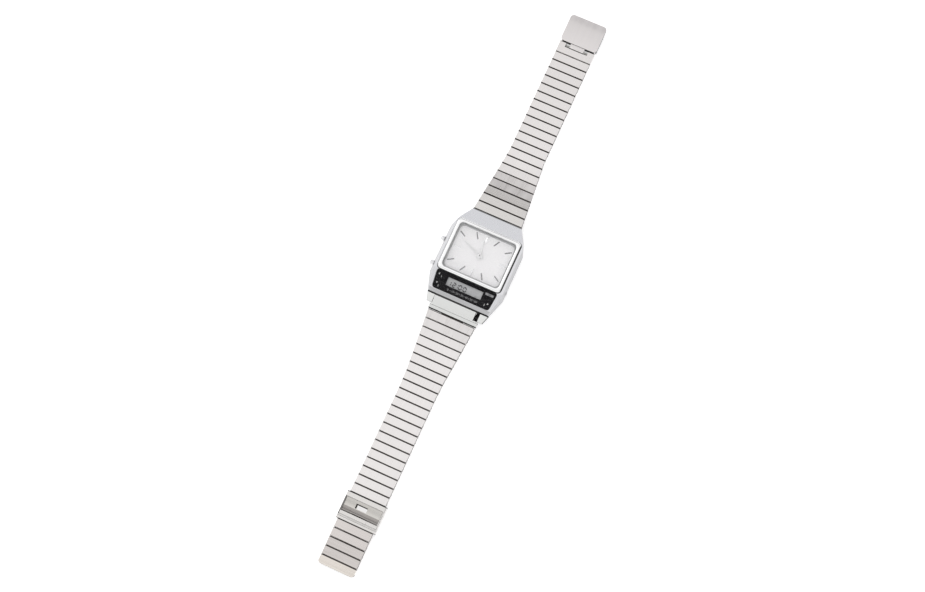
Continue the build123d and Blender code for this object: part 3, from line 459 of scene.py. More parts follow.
# The dark batons are a painted stand-in for the shade along their sides; the pale ones are plain
# polished steel.
dark_marker = polished_metal("marker_dark", (0.22, 0.22, 0.23), 0.22)
pale_marker = polished_metal("marker_pale", (0.86, 0.86, 0.87), 0.12)
brass = polished_metal("brass_sheet", (0.72, 0.53, 0.24), 0.22)
crystal_glass = glass("crystal_glass", (0.96, 0.97, 0.97), 0.10)
panel_cover = glass("panel_glass", (0.02, 0.02, 0.022), 0.10)
# Near-black that paints shade: in the gaps, grooves, notches, slots and hinge, on the spring bars, and
# on the thin sheets and the ring that stand where only shade lies.
joint_dark = lacquer("joint_dark", (0.022, 0.021, 0.020), 0.5, 0.3, 1500.0, 0.2, 0.3)
# Grey that paints the shade under the frame: on the ring down to the dial and the ledge under the
# crystal.
shaded_ring_grey = lacquer("ring_satin", (0.38, 0.38, 0.385), 0.38, 0.04, 1600.0, 0.5, 0.1)
panel_black = lacquer("panel_black", (0.011, 0.010, 0.012), 0.16, 0.2, 2600.0, 0.12, 0.05)
print_white = lacquer("print_white", (0.86, 0.86, 0.85), 0.5, 0.04)
print_grey = lacquer("print_grey", (0.36, 0.36, 0.37), 0.5, 0.06)
digit_black = lacquer("digit_black", (0.05, 0.05, 0.055), 0.4, 0.1)
module_plastic = lacquer("module_plastic", (0.035, 0.035, 0.037), 0.5, 0.15, 1400.0, 0.4, 0.5)
gasket_rubber = lacquer("gasket_rubber", (0.02, 0.02, 0.02), 0.65, 0.2, 1800.0, 0.3, 0.4)
dial_white = dial_lacquer()
lcd_grey = liquid_crystal()
board_green = circuit_laminate()

SHADES = {
    "case_steel": case_steel, "bracelet_steel": bar_steel, "clasp_steel": clasp_steel,
    "pin_steel": pin_steel, "bezel": bright_steel, "crystal": crystal_glass,
    "panel_glass": panel_cover, "panel_print": panel_black, "lcd": lcd_grey, "dial": dial_white,
    "marker": dark_marker, "hands": hand_steel, "module": module_plastic, "board": board_green,
    "cell": pin_steel, "brass": brass, "gasket": gasket_rubber, "back_steel": back_steel,
}
# The spring bars are painted near-black: shade where they show in the notch.
OWN_SHADE = {"spring_bars": joint_dark}
# Bars with a steel of their own: the first upper bars painted darker as shade, the tail a darker, warmer
# steel and its last bar a brighter, warmer one.
BAR_FINISH_AND_SHADE = {
    "upper_link_01": worn_steel, "upper_link_02": worn_steel, "upper_link_03": worn_steel,
    "slider_track_links": tail_steel, "tail_link_01": tail_steel, "tail_link_02": tail_steel,
    "tail_link_03": last_steel,
}


# Meshes.


@contextmanager
def edited(mesh):
    """A mesh opened for editing, and written back at the end."""
    work = bmesh.new()
    work.from_mesh(mesh)
    yield work
    work.to_mesh(mesh)
    work.free()


@contextmanager
def closed_form(mesh):
    """The same for a closed form, whose faces are turned outwards at the end."""
    with edited(mesh) as work:
        yield work
        bmesh.ops.recalc_face_normals(work, faces=work.faces)


def ring(work, spots):
    """New corners at spots given in millimetres."""
    return [work.verts.new([value * MM for value in spot]) for spot in spots]


def wall(work, low, high):
    """Faces all round between two rings with the same number of corners."""
    for index in range(len(low)):
        after = (index + 1) % len(low)
        work.faces.new((low[index], low[after], high[after], high[index]))


def new_piece(name, mesh, body, material=None):
    """Put a finished mesh in the scene as a piece that moves with a body."""
    piece = added(name, mesh)
    if material is not None:
        paint(mesh, material)
    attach(piece, body)
    return piece


def paint(mesh, *materials):
    """Give a mesh its materials; its faces start on the first."""
    mesh.materials.clear()
    for material in materials:
        mesh.materials.append(material)


def shade_smooth(mesh, angle, largest=math.inf):
    """Smooth shading, with every edge sharper than an angle kept crisp.

    Faces above the largest area, in square millimetres, are shaded flat."""
    with edited(mesh) as work:
        for face in work.faces:
            face.smooth = face.calc_area() < largest * MM * MM
        for edge in work.edges:
            if len(edge.link_faces) == 2:
                edge.smooth = edge.calc_face_angle(0) < math.radians(angle)


def plain_mesh(source, name):
    """The mesh of an object with its modifiers worked in; the object itself is dropped."""
    bpy.context.view_layer.update()
    graph = bpy.context.evaluated_depsgraph_get()
    mesh = bpy.data.meshes.new_from_object(source.evaluated_get(graph))
    mesh.name = name
    drop(source)
    return mesh


def softened(node, width, materials, segments, angle, parted):
    """A copy of a solid's mesh, its triangles merged and its edges rounded and rubbed bright.

    Faces are parted at the stations along the watch where their finish or painted shade changes."""
    same_spot, same_plane = 0.001, 0.5
    mesh = nodes[node].data.copy()
    paint(mesh, *materials)
    with edited(mesh) as work:
        bmesh.ops.remove_doubles(work, verts=work.verts, dist=same_spot * MM)
        bmesh.ops.dissolve_limit(work, angle_limit=math.radians(same_plane), verts=work.verts,
                                 edges=work.edges)
        for station in parted:
            bmesh.ops.bisect_plane(work, geom=work.verts[:] + work.edges[:] + work.faces[:],
                                   plane_co=(0, station * MM, 0), plane_no=(0, 1, 0))
    holder = added("holder", mesh)
    bevel = holder.modifiers.new("rounding", "BEVEL")
    bevel.width = width * MM
    bevel.segments = segments
    bevel.limit_method = "ANGLE"
    bevel.angle_limit = math.radians(angle)
    bevel.use_clamp_overlap = True
    bevel.material = len(materials) - 1
    finished = plain_mesh(holder, node + "_dressed")
    shade_smooth(finished, 35.0)
    return flat_weighted(finished)


def flat_weighted(mesh):
    """The same mesh, with its large faces shaded flat and the small ones rounding off to them."""
    holder = added("holder", mesh)
    weighing = holder.modifiers.new("weighing", "WEIGHTED_NORMAL")
    weighing.keep_sharp = True
    return plain_mesh(holder, mesh.name)


def dress(node, width, materials, segments=2, angle=25.0, parted=(), areas=()):
    """Stand a softly edged copy in for a solid, with areas of other finishes or of painted shade that
    tests pick.
    """
    mesh = softened(node, width, materials, segments, angle, parted)
    first = len(materials)
    for test, material in areas:
        mesh.materials.append(material)
    for face in mesh.polygons:
        for index, (test, material) in enumerate(areas):
            if test(face.center / MM, face.normal):
                face.material_index = first + index
                break
    piece = new_piece(node + "_dressed", mesh, body_of_node[node])
    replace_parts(piece, node)


def cut_or_join(base, tools):
    """Work a list of (mesh, operation) into a base mesh with exact booleans."""
    holder = added("base", base)
    helpers = []
    for mesh, operation in tools:
        helper = added("tool", mesh)
        helpers.append(helper)
        step = holder.modifiers.new("step", "BOOLEAN")
        step.operation = operation
        step.object = helper
        step.solver = "EXACT"
    worked = plain_mesh(holder, "worked")
    for helper in helpers:
        drop(helper)
    return worked


def joined(meshes, transform=None):
    """Several meshes as one, moved by a matrix where one is given."""
    whole = bpy.data.meshes.new("joined")
    with edited(whole) as work:
        for mesh in meshes:
            work.from_mesh(mesh)
        if transform is not None:
            bmesh.ops.transform(work, matrix=transform, verts=work.verts)
    return whole


def outline_prism(points, low, high, axis="X"):
    """A prism of an outline, given in the plane across an axis, between two stations on it."""
    mesh = bpy.data.meshes.new("prism")
    with closed_form(mesh) as work:
        start, end = (ring(work, [(station, a, b) if axis == "X" else (a, b, station)
                                  for a, b in points]) for station in (low, high))
        work.faces.new(start[::-1])
        work.faces.new(end)
        wall(work, start, end)
    return mesh


def flat_shapes(outlines, low, high):
    """Thin plates with the given outlines, as one mesh."""
    return joined([outline_prism(outline, low, high, "Z") for outline in outlines])


def roofed_form(outline, rail_height, ridge, roof):
    """A bar with upright sides up to a rail, and a roof of faces from the rail to a ridge."""
    mesh = bpy.data.meshes.new("roofed")
    with closed_form(mesh) as work:
        foot, rail = (ring(work, [(x, y, height) for x, y in outline]) for height in (0, rail_height))
        top = ring(work, ridge)
        work.faces.new(foot[::-1])
        wall(work, foot, rail)
        for rail_corners, ridge_corners in roof:
            work.faces.new([rail[corner] for corner in rail_corners]
                           + [top[corner] for corner in ridge_corners])
    return mesh


def round_points(radius, count=28, centre=(0, 0), start=0.0, end=360.0):
    """Points along an arc, or round a full circle without its first point again."""
    points = []
    steps = count if end - start >= 360 else count + 1
    for index in range(steps):
        angle = math.radians(start + (end - start) * index / count)
        points.append((centre[0] + radius * math.cos(angle), centre[1] + radius * math.sin(angle)))
    return points


def rectangle(near, far):
    """The outline of a rectangle between two opposite corners."""
    return [near, (far[0], near[1]), far, (near[0], far[1])]


def moved(outline, x, y):
    """An outline moved across and along."""
    return [(across + x, along + y) for across, along in outline]


def bevelled(mesh, width, segments, chosen, shade=-1):
    """Round those sharp edges of a mesh that a test picks, with a material of their own if given."""
    sharp = 0.5
    with edited(mesh) as work:
        edges = [edge for edge in work.edges if edge.calc_face_angle(0) > sharp and chosen(edge)]
        bmesh.ops.bevel(work, geom=edges, offset=width * MM, segments=segments, profile=0.5,
                        affect="EDGES", material=shade)


def turned_rod(radius, low, high, rounding=0.0):
    """A round rod along z, with its upper edge rounded off where a rounding is given."""
    mesh = outline_prism(round_points(radius, 40), low, high, "Z")
    if rounding:
        top = (high - 0.001) * MM
        bevelled(mesh, rounding, 3, lambda edge: all(corner.co.z > top for corner in edge.verts))
    return mesh


# Node groups that lay out what repeats.


class Layout:
    """A node group under construction, with named inputs for its sizes."""

    def __init__(self, name, inputs):
        self.tree = bpy.data.node_groups.new(name, "GeometryNodeTree")
        self.socket("Geometry", "Geometry")
        self.socket("Geometry", "Geometry", "OUTPUT")
        self.sockets = {key: self.socket(key, kind).identifier for key, kind in inputs.items()}
        self.inlet = self.tree.nodes.new("NodeGroupInput")

    def socket(self, name, kind, way="INPUT"):
        return self.tree.interface.new_socket(name, in_out=way, socket_type="NodeSocket" + kind)

    def add(self, kind, inputs=(), **settings):
        """A node, where the name of one of the group's inputs stands for that input."""
        given = {key: self.inlet.outputs[value] if value in self.sockets else value
                 for key, value in dict(inputs).items()}
        return add_node(self.tree, kind, given, **settings)

    def end(self, geometry, *more):
        """Close the group; the faces that carry a named mark get a material of their own."""
        whole = self.add("GeometryNodeRealizeInstances", {"Geometry": geometry})
        painted = self.add("GeometryNodeSetMaterial", {"Geometry": whole, "Material": "Material"})
        for mark, material in more:
            marked = self.add("GeometryNodeInputNamedAttribute", {"Name": mark}, data_type="BOOLEAN")
            painted = self.add("GeometryNodeSetMaterial", {
                "Geometry": painted, "Selection": marked, "Material": material})
        self.add("NodeGroupOutput", {0: painted})

    def make(self, name, values):
        """Run the group with its inputs set and return the plain mesh."""
        holder = added("holder", bpy.data.meshes.new("holder"))
        modifier = holder.modifiers.new("layout", "NODES")
        modifier.node_group = self.tree
        for key, value in values.items():
            modifier[self.sockets[key]] = value
        return plain_mesh(holder, name)


def bars_layout():
    """Bars in a row along +Y from a pivot, tapering from the first width to the last."""
    layout = Layout("bars_in_a_row", {
        "Bar": "Object", "Count": "Int", "Pitch": "Float", "First width": "Float",
        "Last width": "Float", "Bar width": "Float", "Turn": "Rotation", "Pivot": "Vector",
        "Material": "Material", "Edge material": "Material", "Joint material": "Material"})
    step = layout.add("ShaderNodeCombineXYZ", {"Y": "Pitch"})
    row = layout.add("GeometryNodeMeshLine", {"Count": "Count", "Offset": step},
                     mode="OFFSET", count_mode="TOTAL")
    bar = layout.add("GeometryNodeObjectInfo", {"Object": "Bar"}, transform_space="ORIGINAL")
    laid = layout.add("GeometryNodeInstanceOnPoints",
                      {"Points": row, "Instance": bar.outputs["Geometry"]})
    whole = layout.add("GeometryNodeRealizeInstances", {"Geometry": laid})
    position = layout.add("GeometryNodeInputPosition")
    spot = layout.add("ShaderNodeSeparateXYZ", {"Vector": position}).outputs
    length = layout.add("ShaderNodeMath", {0: "Pitch", 1: "Count"}, operation="MULTIPLY")
    width = layout.add("ShaderNodeMapRange", {
        "Value": spot["Y"], "From Min": 0.0, "From Max": length,
        "To Min": "First width", "To Max": "Last width"}, clamp=False)
    share = layout.add("ShaderNodeMath", {0: width, 1: "Bar width"}, operation="DIVIDE")
    across = layout.add("ShaderNodeMath", {0: spot["X"], 1: share}, operation="MULTIPLY")
    moved_spot = layout.add("ShaderNodeCombineXYZ", {"X": across, "Y": spot["Y"], "Z": spot["Z"]})
    tapered = layout.add("GeometryNodeSetPosition", {"Geometry": whole, "Position": moved_spot})
    placed = layout.add("GeometryNodeTransform", {
        "Geometry": tapered, "Rotation": "Turn", "Translation": "Pivot"})
    layout.end(placed, ("edge", "Edge material"), ("joint", "Joint material"))
    return layout


def places_layout():
    """One thing at each point of a flat list of places, turned as each place says."""
    layout = Layout("things_at_places", {"Thing": "Object", "Places": "Object", "Material": "Material"})
    spots, thing = (layout.add("GeometryNodeObjectInfo", {"Object": source},
                               transform_space="ORIGINAL").outputs["Geometry"]
                    for source in ("Places", "Thing"))
    turn = layout.add("GeometryNodeInputNamedAttribute", {"Name": "turn"}, data_type="FLOAT_VECTOR")
    rotation = layout.add("FunctionNodeEulerToRotation", {"Euler": turn})
    laid = layout.add("GeometryNodeInstanceOnPoints", {
        "Points": spots, "Instance": thing, "Rotation": rotation})
    layout.end(laid)
    return layout


def at_places(layout, name, thing_mesh, spots, material):
    """Copies of one mesh on spots, each a place and a turn, as one mesh."""
    points = bpy.data.meshes.new("places")
    points.from_pydata([spot for spot, turn in spots], [], [])
    turns = points.attributes.new("turn", "FLOAT_VECTOR", "POINT")
    for index, (spot, turn) in enumerate(spots):
        turns.data[index].vector = turn
    thing, places = added("thing", thing_mesh), added("places", points)
    mesh = layout.make(name, {"Thing": thing, "Places": places, "Material": material})
    drop(thing)
    drop(places)
    return mesh


# The bracelet.


def bar_block(last):
    """The bar's plain block, its long and outer edges softened and rubbed bright."""
    side, half = CLASP_WIDTH / 2, BAR_THICKNESS / 2
    plan = [(-side, BAR_START), (side, BAR_START)]
    if last:
        inner, far = side - TAIL_CORNER, BAR_END - TAIL_CORNER
        plan += round_points(TAIL_CORNER, 6, (inner, far), 0, 90)
        plan += round_points(TAIL_CORNER, 6, (-inner, far), 90, 180)
    else:
        plan += [(side, BAR_END), (-side, BAR_END)]
    block = outline_prism(plan, -half, half, "Z")
    paint(block, bar_steel, edge_steel)

    def long_top_edge(edge):
        start, end = (corner.co for corner in edge.verts)
        return start.z > 0 and end.z > 0 and abs(start.x - end.x) > MM

    def side_top_edge(edge):
        top, outside = 0.9 * half * MM, (side - 0.01) * MM
        return all(corner.co.z > top and abs(corner.co.x) > outside for corner in edge.verts)

    def foot_edge(edge):
        return all(corner.co.z < 0 for corner in edge.verts)

    bevelled(block, BAR_TOP_ROUND, 2, long_top_edge, RUBBED)
    bevelled(block, BAR_SIDE_CHAMFER, 1, side_top_edge, RUBBED)
    bevelled(block, BAR_FOOT_ROUND, 2, foot_edge, RUBBED)
    return block


def bar_mesh(first=False, last=False, lip=BAR_LIP):
    """One bar, drawn with its inner pivot at the origin and its length along +Y.

    It has a softly rounded top, a slot for the next tongue, its own tongue and the pin. A low lip
    at mid height all but closes the gap to the bar before it."""
    side = CLASP_WIDTH / 2
    tongue = CLASP_WIDTH * TONGUE_SHARE / 2
    radius = FIRST_TONGUE_RADIUS if first else TONGUE_RADIUS
    bore = FIRST_BORE_RADIUS if first else PIN_RADIUS + BORE_PLAY
    past = 1.0
    steps = []
    if lip:
        strip = rectangle((BAR_START - lip, -LIP_RISE), (BAR_START + LIP_ROOT, LIP_RISE))
        steps.append((outline_prism(strip, LIP_END_INSET - side, side - LIP_END_INSET), "UNION"))
    root = BAR_START + KNUCKLE_ROOT
    knuckle = [(root, -radius), (root, 0)] + round_points(radius, 18, (0, 0), 0, 270)
    steps += [(outline_prism(knuckle, -tongue, tongue), "UNION"),
              (outline_prism(round_points(bore, 20), -tongue - past, tongue + past), "DIFFERENCE")]
    if not last:
        slot = tongue + TONGUE_SIDE
        opening = rectangle((BAR_PITCH - TONGUE_RADIUS - SLOT_END, -BAR_THICKNESS / 2 - past),
                            (BAR_END + past, SLOT_TOP))
        hole = round_points(PIN_RADIUS + PIN_HOLE_PLAY, 20, (BAR_PITCH, 0))
        pin = round_points(PIN_RADIUS, 20, (BAR_PITCH, 0))
        pin_end, pin_root = side - PIN_SINK, slot + 0.1
        steps += [(outline_prism(opening, -slot, slot), "DIFFERENCE"),
                  (outline_prism(hole, pin_end, side + past), "DIFFERENCE"),
                  (outline_prism(hole, -side - past, -pin_end), "DIFFERENCE"),
                  (outline_prism(pin, -pin_root, pin_root), "UNION")]
    mesh = cut_or_join(bar_block(last), steps)
    mark_joint_faces(mesh)
    return mesh


def mark_joint_faces(mesh):
    """Mark the rubbed edges of a bar, and what lies between it and its neighbours, which gets painted
    shade.
    """
    inside = (CLASP_WIDTH / 2 - 0.02) * MM
    slot_height = (BAR_THICKNESS / 2 - 0.3) * MM
    edge = mesh.attributes.new("edge", "BOOLEAN", "FACE")
    joint = mesh.attributes.new("joint", "BOOLEAN", "FACE")
    for face in mesh.polygons:
        between = abs(face.center.z) < slot_height or abs(face.normal.y) > STEEP
        joint.data[face.index].value = between and abs(face.center.x) < inside
        edge.data[face.index].value = face.material_index == RUBBED


def width_at(case_width, joint):
    """The bracelet's width at a joint, counted from the case."""
    share = min(joint / TAPERING_BARS, 1.0)
    return case_width + (CLASP_WIDTH - case_width) * share


def bracelet():
    """Dress every section of both halves, and the rigid track and the tail, with full bars."""
    joints = {joint["child"]: joint for joint in frame["joints"] if joint.get("pos_m")}
    after = {joint["parent"]: joint for joint in joints.values()
             if "link" in joint["child"] and joint["parent"] != "case"}
    layout = bars_layout()
    plain_bar = added("plain_bar", bar_mesh())
    own_bars = {
        "upper_link_01": added("first_bar", bar_mesh(first=True, lip=0.0)),
        "lower_link_01": added("inner_bar", bar_mesh(lip=INNER_LIP)),
        "tail_link_03": added("last_bar", bar_mesh(last=True)),
    }
    for body, joint in joints.items():
        if not body.startswith(("upper_link", "lower_link", "tail_link", "slider_track")):
            continue
        pivot = Vector(joint["pos_m"])
        if body in after:
            step = Vector(after[body]["pos_m"]) - pivot
            count = round(step.length / (BAR_PITCH * MM))
        else:
            step = pivot - Vector(joints[joint["parent"]]["pos_m"])
            count = 1
        upper = body.startswith("upper")
        side = 1 if upper else -1
        case_width = UPPER_WIDTH if upper else LOWER_WIDTH
        number = TAPERING_BARS
        if body.startswith(("upper", "lower")):
            number = int(body.split("_")[2]) - 1
        slope = math.atan2(-step.z, abs(step.y))
        turn = Matrix.Rotation(-side * slope, 3, "X") @ Matrix.Rotation(0 if upper else math.pi, 3, "Z")
        mesh = layout.make(body + "_bars", {
            "Bar": own_bars.get(body, plain_bar), "Count": count, "Pitch": BAR_PITCH * MM,
            "First width": width_at(case_width, number) * MM,
            "Last width": width_at(case_width, number + count) * MM, "Bar width": CLASP_WIDTH * MM,
            "Turn": turn.to_euler(), "Pivot": pivot, "Material": BAR_FINISH_AND_SHADE.get(body, bar_steel),
            "Edge material": edge_steel, "Joint material": joint_steel})
        shade_smooth(mesh, 35.0, 4.0)
        piece = new_piece(body + "_bars", mesh, body)
        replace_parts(piece, body)
    for thing in (plain_bar, *own_bars.values()):
        drop(thing)


# The back, the dial and the window.


def screw_mesh():
    """A low round head with a cross recess, drawn head down, as it sits in the back."""
    head = outline_prism(round_points(SCREW_HEAD_RADIUS, 40), 0.0, SCREW_HEAD_HEIGHT, "Z")
    near_face, shank_start = 0.1 * MM, 0.3
    bevelled(head, SCREW_HEAD_ROUND, 3, lambda edge: all(end.co.z < near_face for end in edge.verts))
    shank = outline_prism(round_points(SCREW_SHANK_RADIUS, 24), shank_start, SCREW_LENGTH, "Z")
    steps = [(shank, "UNION")]
    for x, y in ((RECESS_REACH, RECESS_HALF_WIDTH), (RECESS_HALF_WIDTH, RECESS_REACH)):
        arm = rectangle((-x, -y), (x, y))
        steps.append((outline_prism(arm, -1, RECESS_DEPTH, "Z"), "DIFFERENCE"))
    mesh = cut_or_join(head, steps)
    shade_smooth(mesh, 35.0)
    return mesh


def back_screws(layout):
    """The four screws of the back, each with its recess at a turn of its own."""
    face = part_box("back_screws")[0].z
    turns = random.Random(7)
    spots = [((x * MM, y * MM, face), (0, 0, turns.uniform(0, math.pi))) for x, y in SCREW_SPOTS]
    mesh = at_places(layout, "back_screws_cut", screw_mesh(), spots, pin_steel)
    piece = new_piece("back_screws_cut", mesh, "case")
    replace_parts(piece, "back_screws")


def baton_mesh(width):
    """An applied baton with a roof ridge and sloping ends, pointing to the dial's edge."""
    rail_share, end_slope = 0.45, 0.7
    side, end = width / 2, MARKER_LENGTH / 2
    ridge_end = end - side * end_slope
    return roofed_form(
        rectangle((-side, -end), (side, end)), MARKER_HEIGHT * rail_share,
        [(0, -ridge_end, MARKER_HEIGHT), (0, ridge_end, MARKER_HEIGHT)],
        (((0, 1), (0,)), ((2, 3), (1,)), ((1, 2), (1, 0)), ((3, 0), (0, 1))))


def hour_markers(layout):
    """Twelve batons round the window's rectangle: the broad one stands at 12. Those off the quarters are
    dark, as painted shade, and the rest pale.
    """
    far_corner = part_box("hour_markers")[1]
    reach_x, reach_y = far_corner.x / MM, far_corner.y / MM - DIAL_Y
    groups = {"dark": [], "pale": [], "noon": []}
    for hour in range(12):
        angle = math.radians(30 * hour)
        across, along = abs(math.sin(angle)), abs(math.cos(angle))
        reach = reach_y / along if along * reach_x > across * reach_y else reach_x / across
        middle = reach - MARKER_LENGTH / 2
        spot = Vector((middle * math.sin(angle), DIAL_Y + middle * math.cos(angle), DIAL_TOP)) * MM
        kind = "noon" if hour == 0 else "pale" if hour % 3 == 0 else "dark"
        groups[kind].append((spot, (0, 0, -angle)))
    pieces = []
    for kind, width, material in (("dark", MARKER_WIDTH, dark_marker),
                                  ("pale", MARKER_WIDTH, pale_marker),
                                  ("noon", NOON_WIDTH, pale_marker)):
        mesh = at_places(layout, "markers_" + kind, baton_mesh(width), groups[kind], material)
        pieces.append(new_piece("markers_" + kind, mesh, "case"))
    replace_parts(pieces[0], "hour_markers")


def hand_mesh(length, width):
    """A dauphine-like hand: a roofed blade from its tail to a blunt tip, pointing along +Y."""
    side, tip = width / 2, width * HAND_TIP_SHARE / 2
    ridge = HAND_THICKNESS * 0.95
    return roofed_form(
        [(-side, -HAND_TAIL), (side, -HAND_TAIL), (side, 0), (tip, length), (-tip, length), (-side, 0)],
        HAND_THICKNESS * 0.5,
        [(0, y, ridge) for y in (-HAND_TAIL + 0.1, 0, length - 0.1)],
        (((0, 1), (0,)), ((1, 2), (1, 0)), ((2, 3), (2, 1)),
         ((3, 4), (2,)), ((4, 5), (1, 2)), ((5, 0), (0, 1))))


def on_dial(base, turn):
    """Where a hand stands: at the dial's centre, at a height, turned clockwise from noon."""
    return Matrix.Translation((0, DIAL_Y * MM, base * MM)) @ Matrix.Rotation(-math.radians(turn), 4, "Z")


def hands():
    """Both hands on their pipes, at the time the photograph shows."""
    right_through, into_hub = 3.0, 0.05
    bore = (turned_rod(HOUR_BORE_RADIUS, -right_through, right_through), "DIFFERENCE")
    pipe = (turned_rod(HOUR_PIPE_RADIUS, -HOUR_PIPE_DEPTH, into_hub), "UNION")
    hub = cut_or_join(turned_rod(HUB_RADIUS, 0.0, HAND_THICKNESS, HUB_ROUND), [pipe, bore])
    blade = cut_or_join(hand_mesh(HOUR_HAND_LENGTH, HOUR_HAND_WIDTH), [bore])
    mesh = joined([hub, blade], on_dial(HOUR_HAND_BASE, HOUR_HAND_TURN))
    shade_smooth(mesh, 20.0)
    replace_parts(new_piece("hour_hand_shaped", mesh, "hour_hand", hand_steel), "hour_hand")
    at_minute = on_dial(MINUTE_HAND_BASE, MINUTE_HAND_TURN)
    blade = hand_mesh(MINUTE_HAND_LENGTH, MINUTE_HAND_WIDTH)
    hub = turned_rod(HUB_RADIUS, 0.0, MINUTE_HUB_HEIGHT, HUB_ROUND)
    cannon = turned_rod(CANNON_RADIUS, -CANNON_DEPTH, CANNON_TOP, CANNON_ROUND)
    mesh = joined([blade, hub, cannon], at_minute)
    shade_smooth(mesh, 20.0)
    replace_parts(new_piece("minute_hand_shaped", mesh, "minute_hand", hand_steel), "minute_hand")
    centre = joined([turned_rod(CENTRE_RADIUS, CENTRE_FOOT, CENTRE_TOP, CENTRE_ROUND)], at_minute)
    shade_smooth(centre, 40.0)
    new_piece("minute_hand_centre", centre, "minute_hand", dark_marker)


def frame_outline(inset, height):
    """The window frame's rounded outline, drawn in by an inset, at a height."""
    wide = FRAME_HALF_WIDTH - inset - FRAME_ROUND
    long = FRAME_HALF_LENGTH - inset - FRAME_ROUND
    points = []
    for start, x, y in ((0, wide, long), (90, -wide, long), (180, -wide, -long), (270, wide, -long)):
        points += round_points(FRAME_ROUND, 8, (x, DIAL_Y + y), start, start + 90)
    return [(x, y, height) for x, y in points]


def frame_form(profile, capped=False):
    """A ring whose section is a closed list of (inset, height), or a block between capped ends."""
    mesh = bpy.data.meshes.new("frame_form")
    with closed_form(mesh) as work:
        rings = [ring(work, frame_outline(*corner)) for corner in profile]
        pairs = list(zip(rings, rings[1:])) + ([] if capped else [(rings[-1], rings[0])])
        for low, high in pairs:
            wall(work, low, high)
        if capped:
            work.faces.new(rings[0][::-1])
            work.faces.new(rings[-1])
    shade_smooth(mesh, 30.0)
    return mesh


def window():
    """The polished frame, the crystal in it, the ring down to the dial and the frame's seam, a thin dark
    ring of painted shade.
    """
    top, inner = DECK + FRAME_RISE, FRAME_BAR
    rim = frame_form((
        (0, SEAT), (0, top - 0.33), (0.3, top - 0.03), (0.38, top),
        (inner - 0.12, top), (inner - 0.03, top - 0.04), (inner, top - 0.14), (inner, SEAT)))
    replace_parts(new_piece("window_frame", rim, "case", bright_steel), "bezel_frame")
    edge = inner + CRYSTAL_PLAY
    crystal = frame_form((
        (edge, SEAT), (edge, top - 0.02), (edge + 0.05, top + 0.1), (edge + 0.2, top + 0.2)), True)
    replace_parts(new_piece("window_crystal", crystal, "case", crystal_glass), "dial_crystal")
    # The ring down to the dial is painted grey as the shade under the frame.
    foot, below_seat = RING_INSET, SEAT - 0.03
    slope = frame_form((
        (foot, DIAL_TOP), (foot, below_seat), (foot + 0.06, below_seat), (foot + 0.24, DIAL_TOP)))
    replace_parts(new_piece("dial_ring", slope, "case", shaded_ring_grey), "dial_surround")
    # The seam is a near-black ring on the deck round the frame's foot: painted shade in the gap.
    outside, inside, seam_top = -SEAM_WIDTH, -0.01, DECK + SEAM_HEIGHT
    seam = frame_form(((outside, DECK), (outside, seam_top), (inside, seam_top), (inside, DECK)))
    new_piece("window_seam", seam, "case", joint_dark)


# The digital display and the print round it.


SEGMENTS = {"0": "abcdef", "1": "bc", "2": "abged"}


def on_panel(height):
    """The tilted panel's own frame, at a height along its normal."""
    return (Matrix.Translation((0, PANEL_START * MM, DECK * MM)) @ Matrix.Rotation(PANEL_TILT, 4, "X")
            @ Matrix.Translation((0, 0, height * MM)))


def panel_y(y):
    """How far down the panel a station of the watch lies."""
    return (y - PANEL_START) / math.cos(PANEL_TILT)


def segment_outlines(digit):
    """The six-sided strokes of one seven-segment digit."""
    gap, half = DIGIT_STROKE * 0.14, DIGIT_STROKE / 2
    right, top = DIGIT_WIDTH - DIGIT_STROKE, DIGIT_HEIGHT - DIGIT_STROKE
    middle = top / 2
    ends = {
        "a": ((0, top), (right, top)), "b": ((right, top), (right, middle)),
        "c": ((right, middle), (right, 0)), "d": ((0, 0), (right, 0)),
        "e": ((0, middle), (0, 0)), "f": ((0, top), (0, middle)), "g": ((0, middle), (right, middle)),
    }
    outlines = []
    for letter in SEGMENTS[digit]:
        (x, y), (far_x, far_y) = ends[letter]
        if y == far_y:
            x, far_x = x + gap, far_x - gap
            outline = [(x, y), (x + half, y + half), (far_x - half, far_y + half), (far_x, far_y),
                       (far_x - half, far_y - half), (x + half, y - half)]
        else:
            y, far_y = y - gap, far_y + gap
            outline = [(x, y), (x + half, y - half), (far_x + half, far_y + half), (far_x, far_y),
                       (far_x - half, far_y + half), (x - half, y - half)]
        outlines.append(outline)
    return outlines


def number_mesh(text, height, x, station):
    """A plain number as a thin plate on the panel, centred on a place of the watch."""
    curve = bpy.data.curves.new("number", "FONT")
    curve.body = text
    curve.size = height * MM / CAPITAL_SHARE
    curve.align_x = "CENTER"
    curve.extrude = PRINT_DEPTH / 2 * MM
    curve.resolution_u = 3
    mesh = plain_mesh(added("number", curve), "number")
    mesh.transform(Matrix.Translation(Vector((x, panel_y(station) - height / 2, PRINT_DEPTH / 2)) * MM))
    return mesh


def panel_piece(name, meshes, height, material):
    """Meshes drawn flat on the panel as one piece of the case, at a height over the panel's plane."""
    new_piece(name, joined(meshes, on_panel(height)), "case", material)


def digits():
    """The time on the liquid crystal cell."""
    outlines = []
    x, low = DIGIT_START, panel_y(DIGIT_STATION)
    for sign in "12:00":
        if sign == ":":
            dot = rectangle((0, 0), (COLON_DOT, COLON_DOT))
            outlines += [moved(dot, x, low + height) for height in COLON_HEIGHTS]
            x += COLON_STEP
        else:
            outlines += [moved(outline, x, low) for outline in segment_outlines(sign)]
            x += DIGIT_STEP
    panel_piece("lcd_digits", [flat_shapes(outlines, 0, DIGIT_DEPTH)], DIGIT_LEVEL, digit_black)


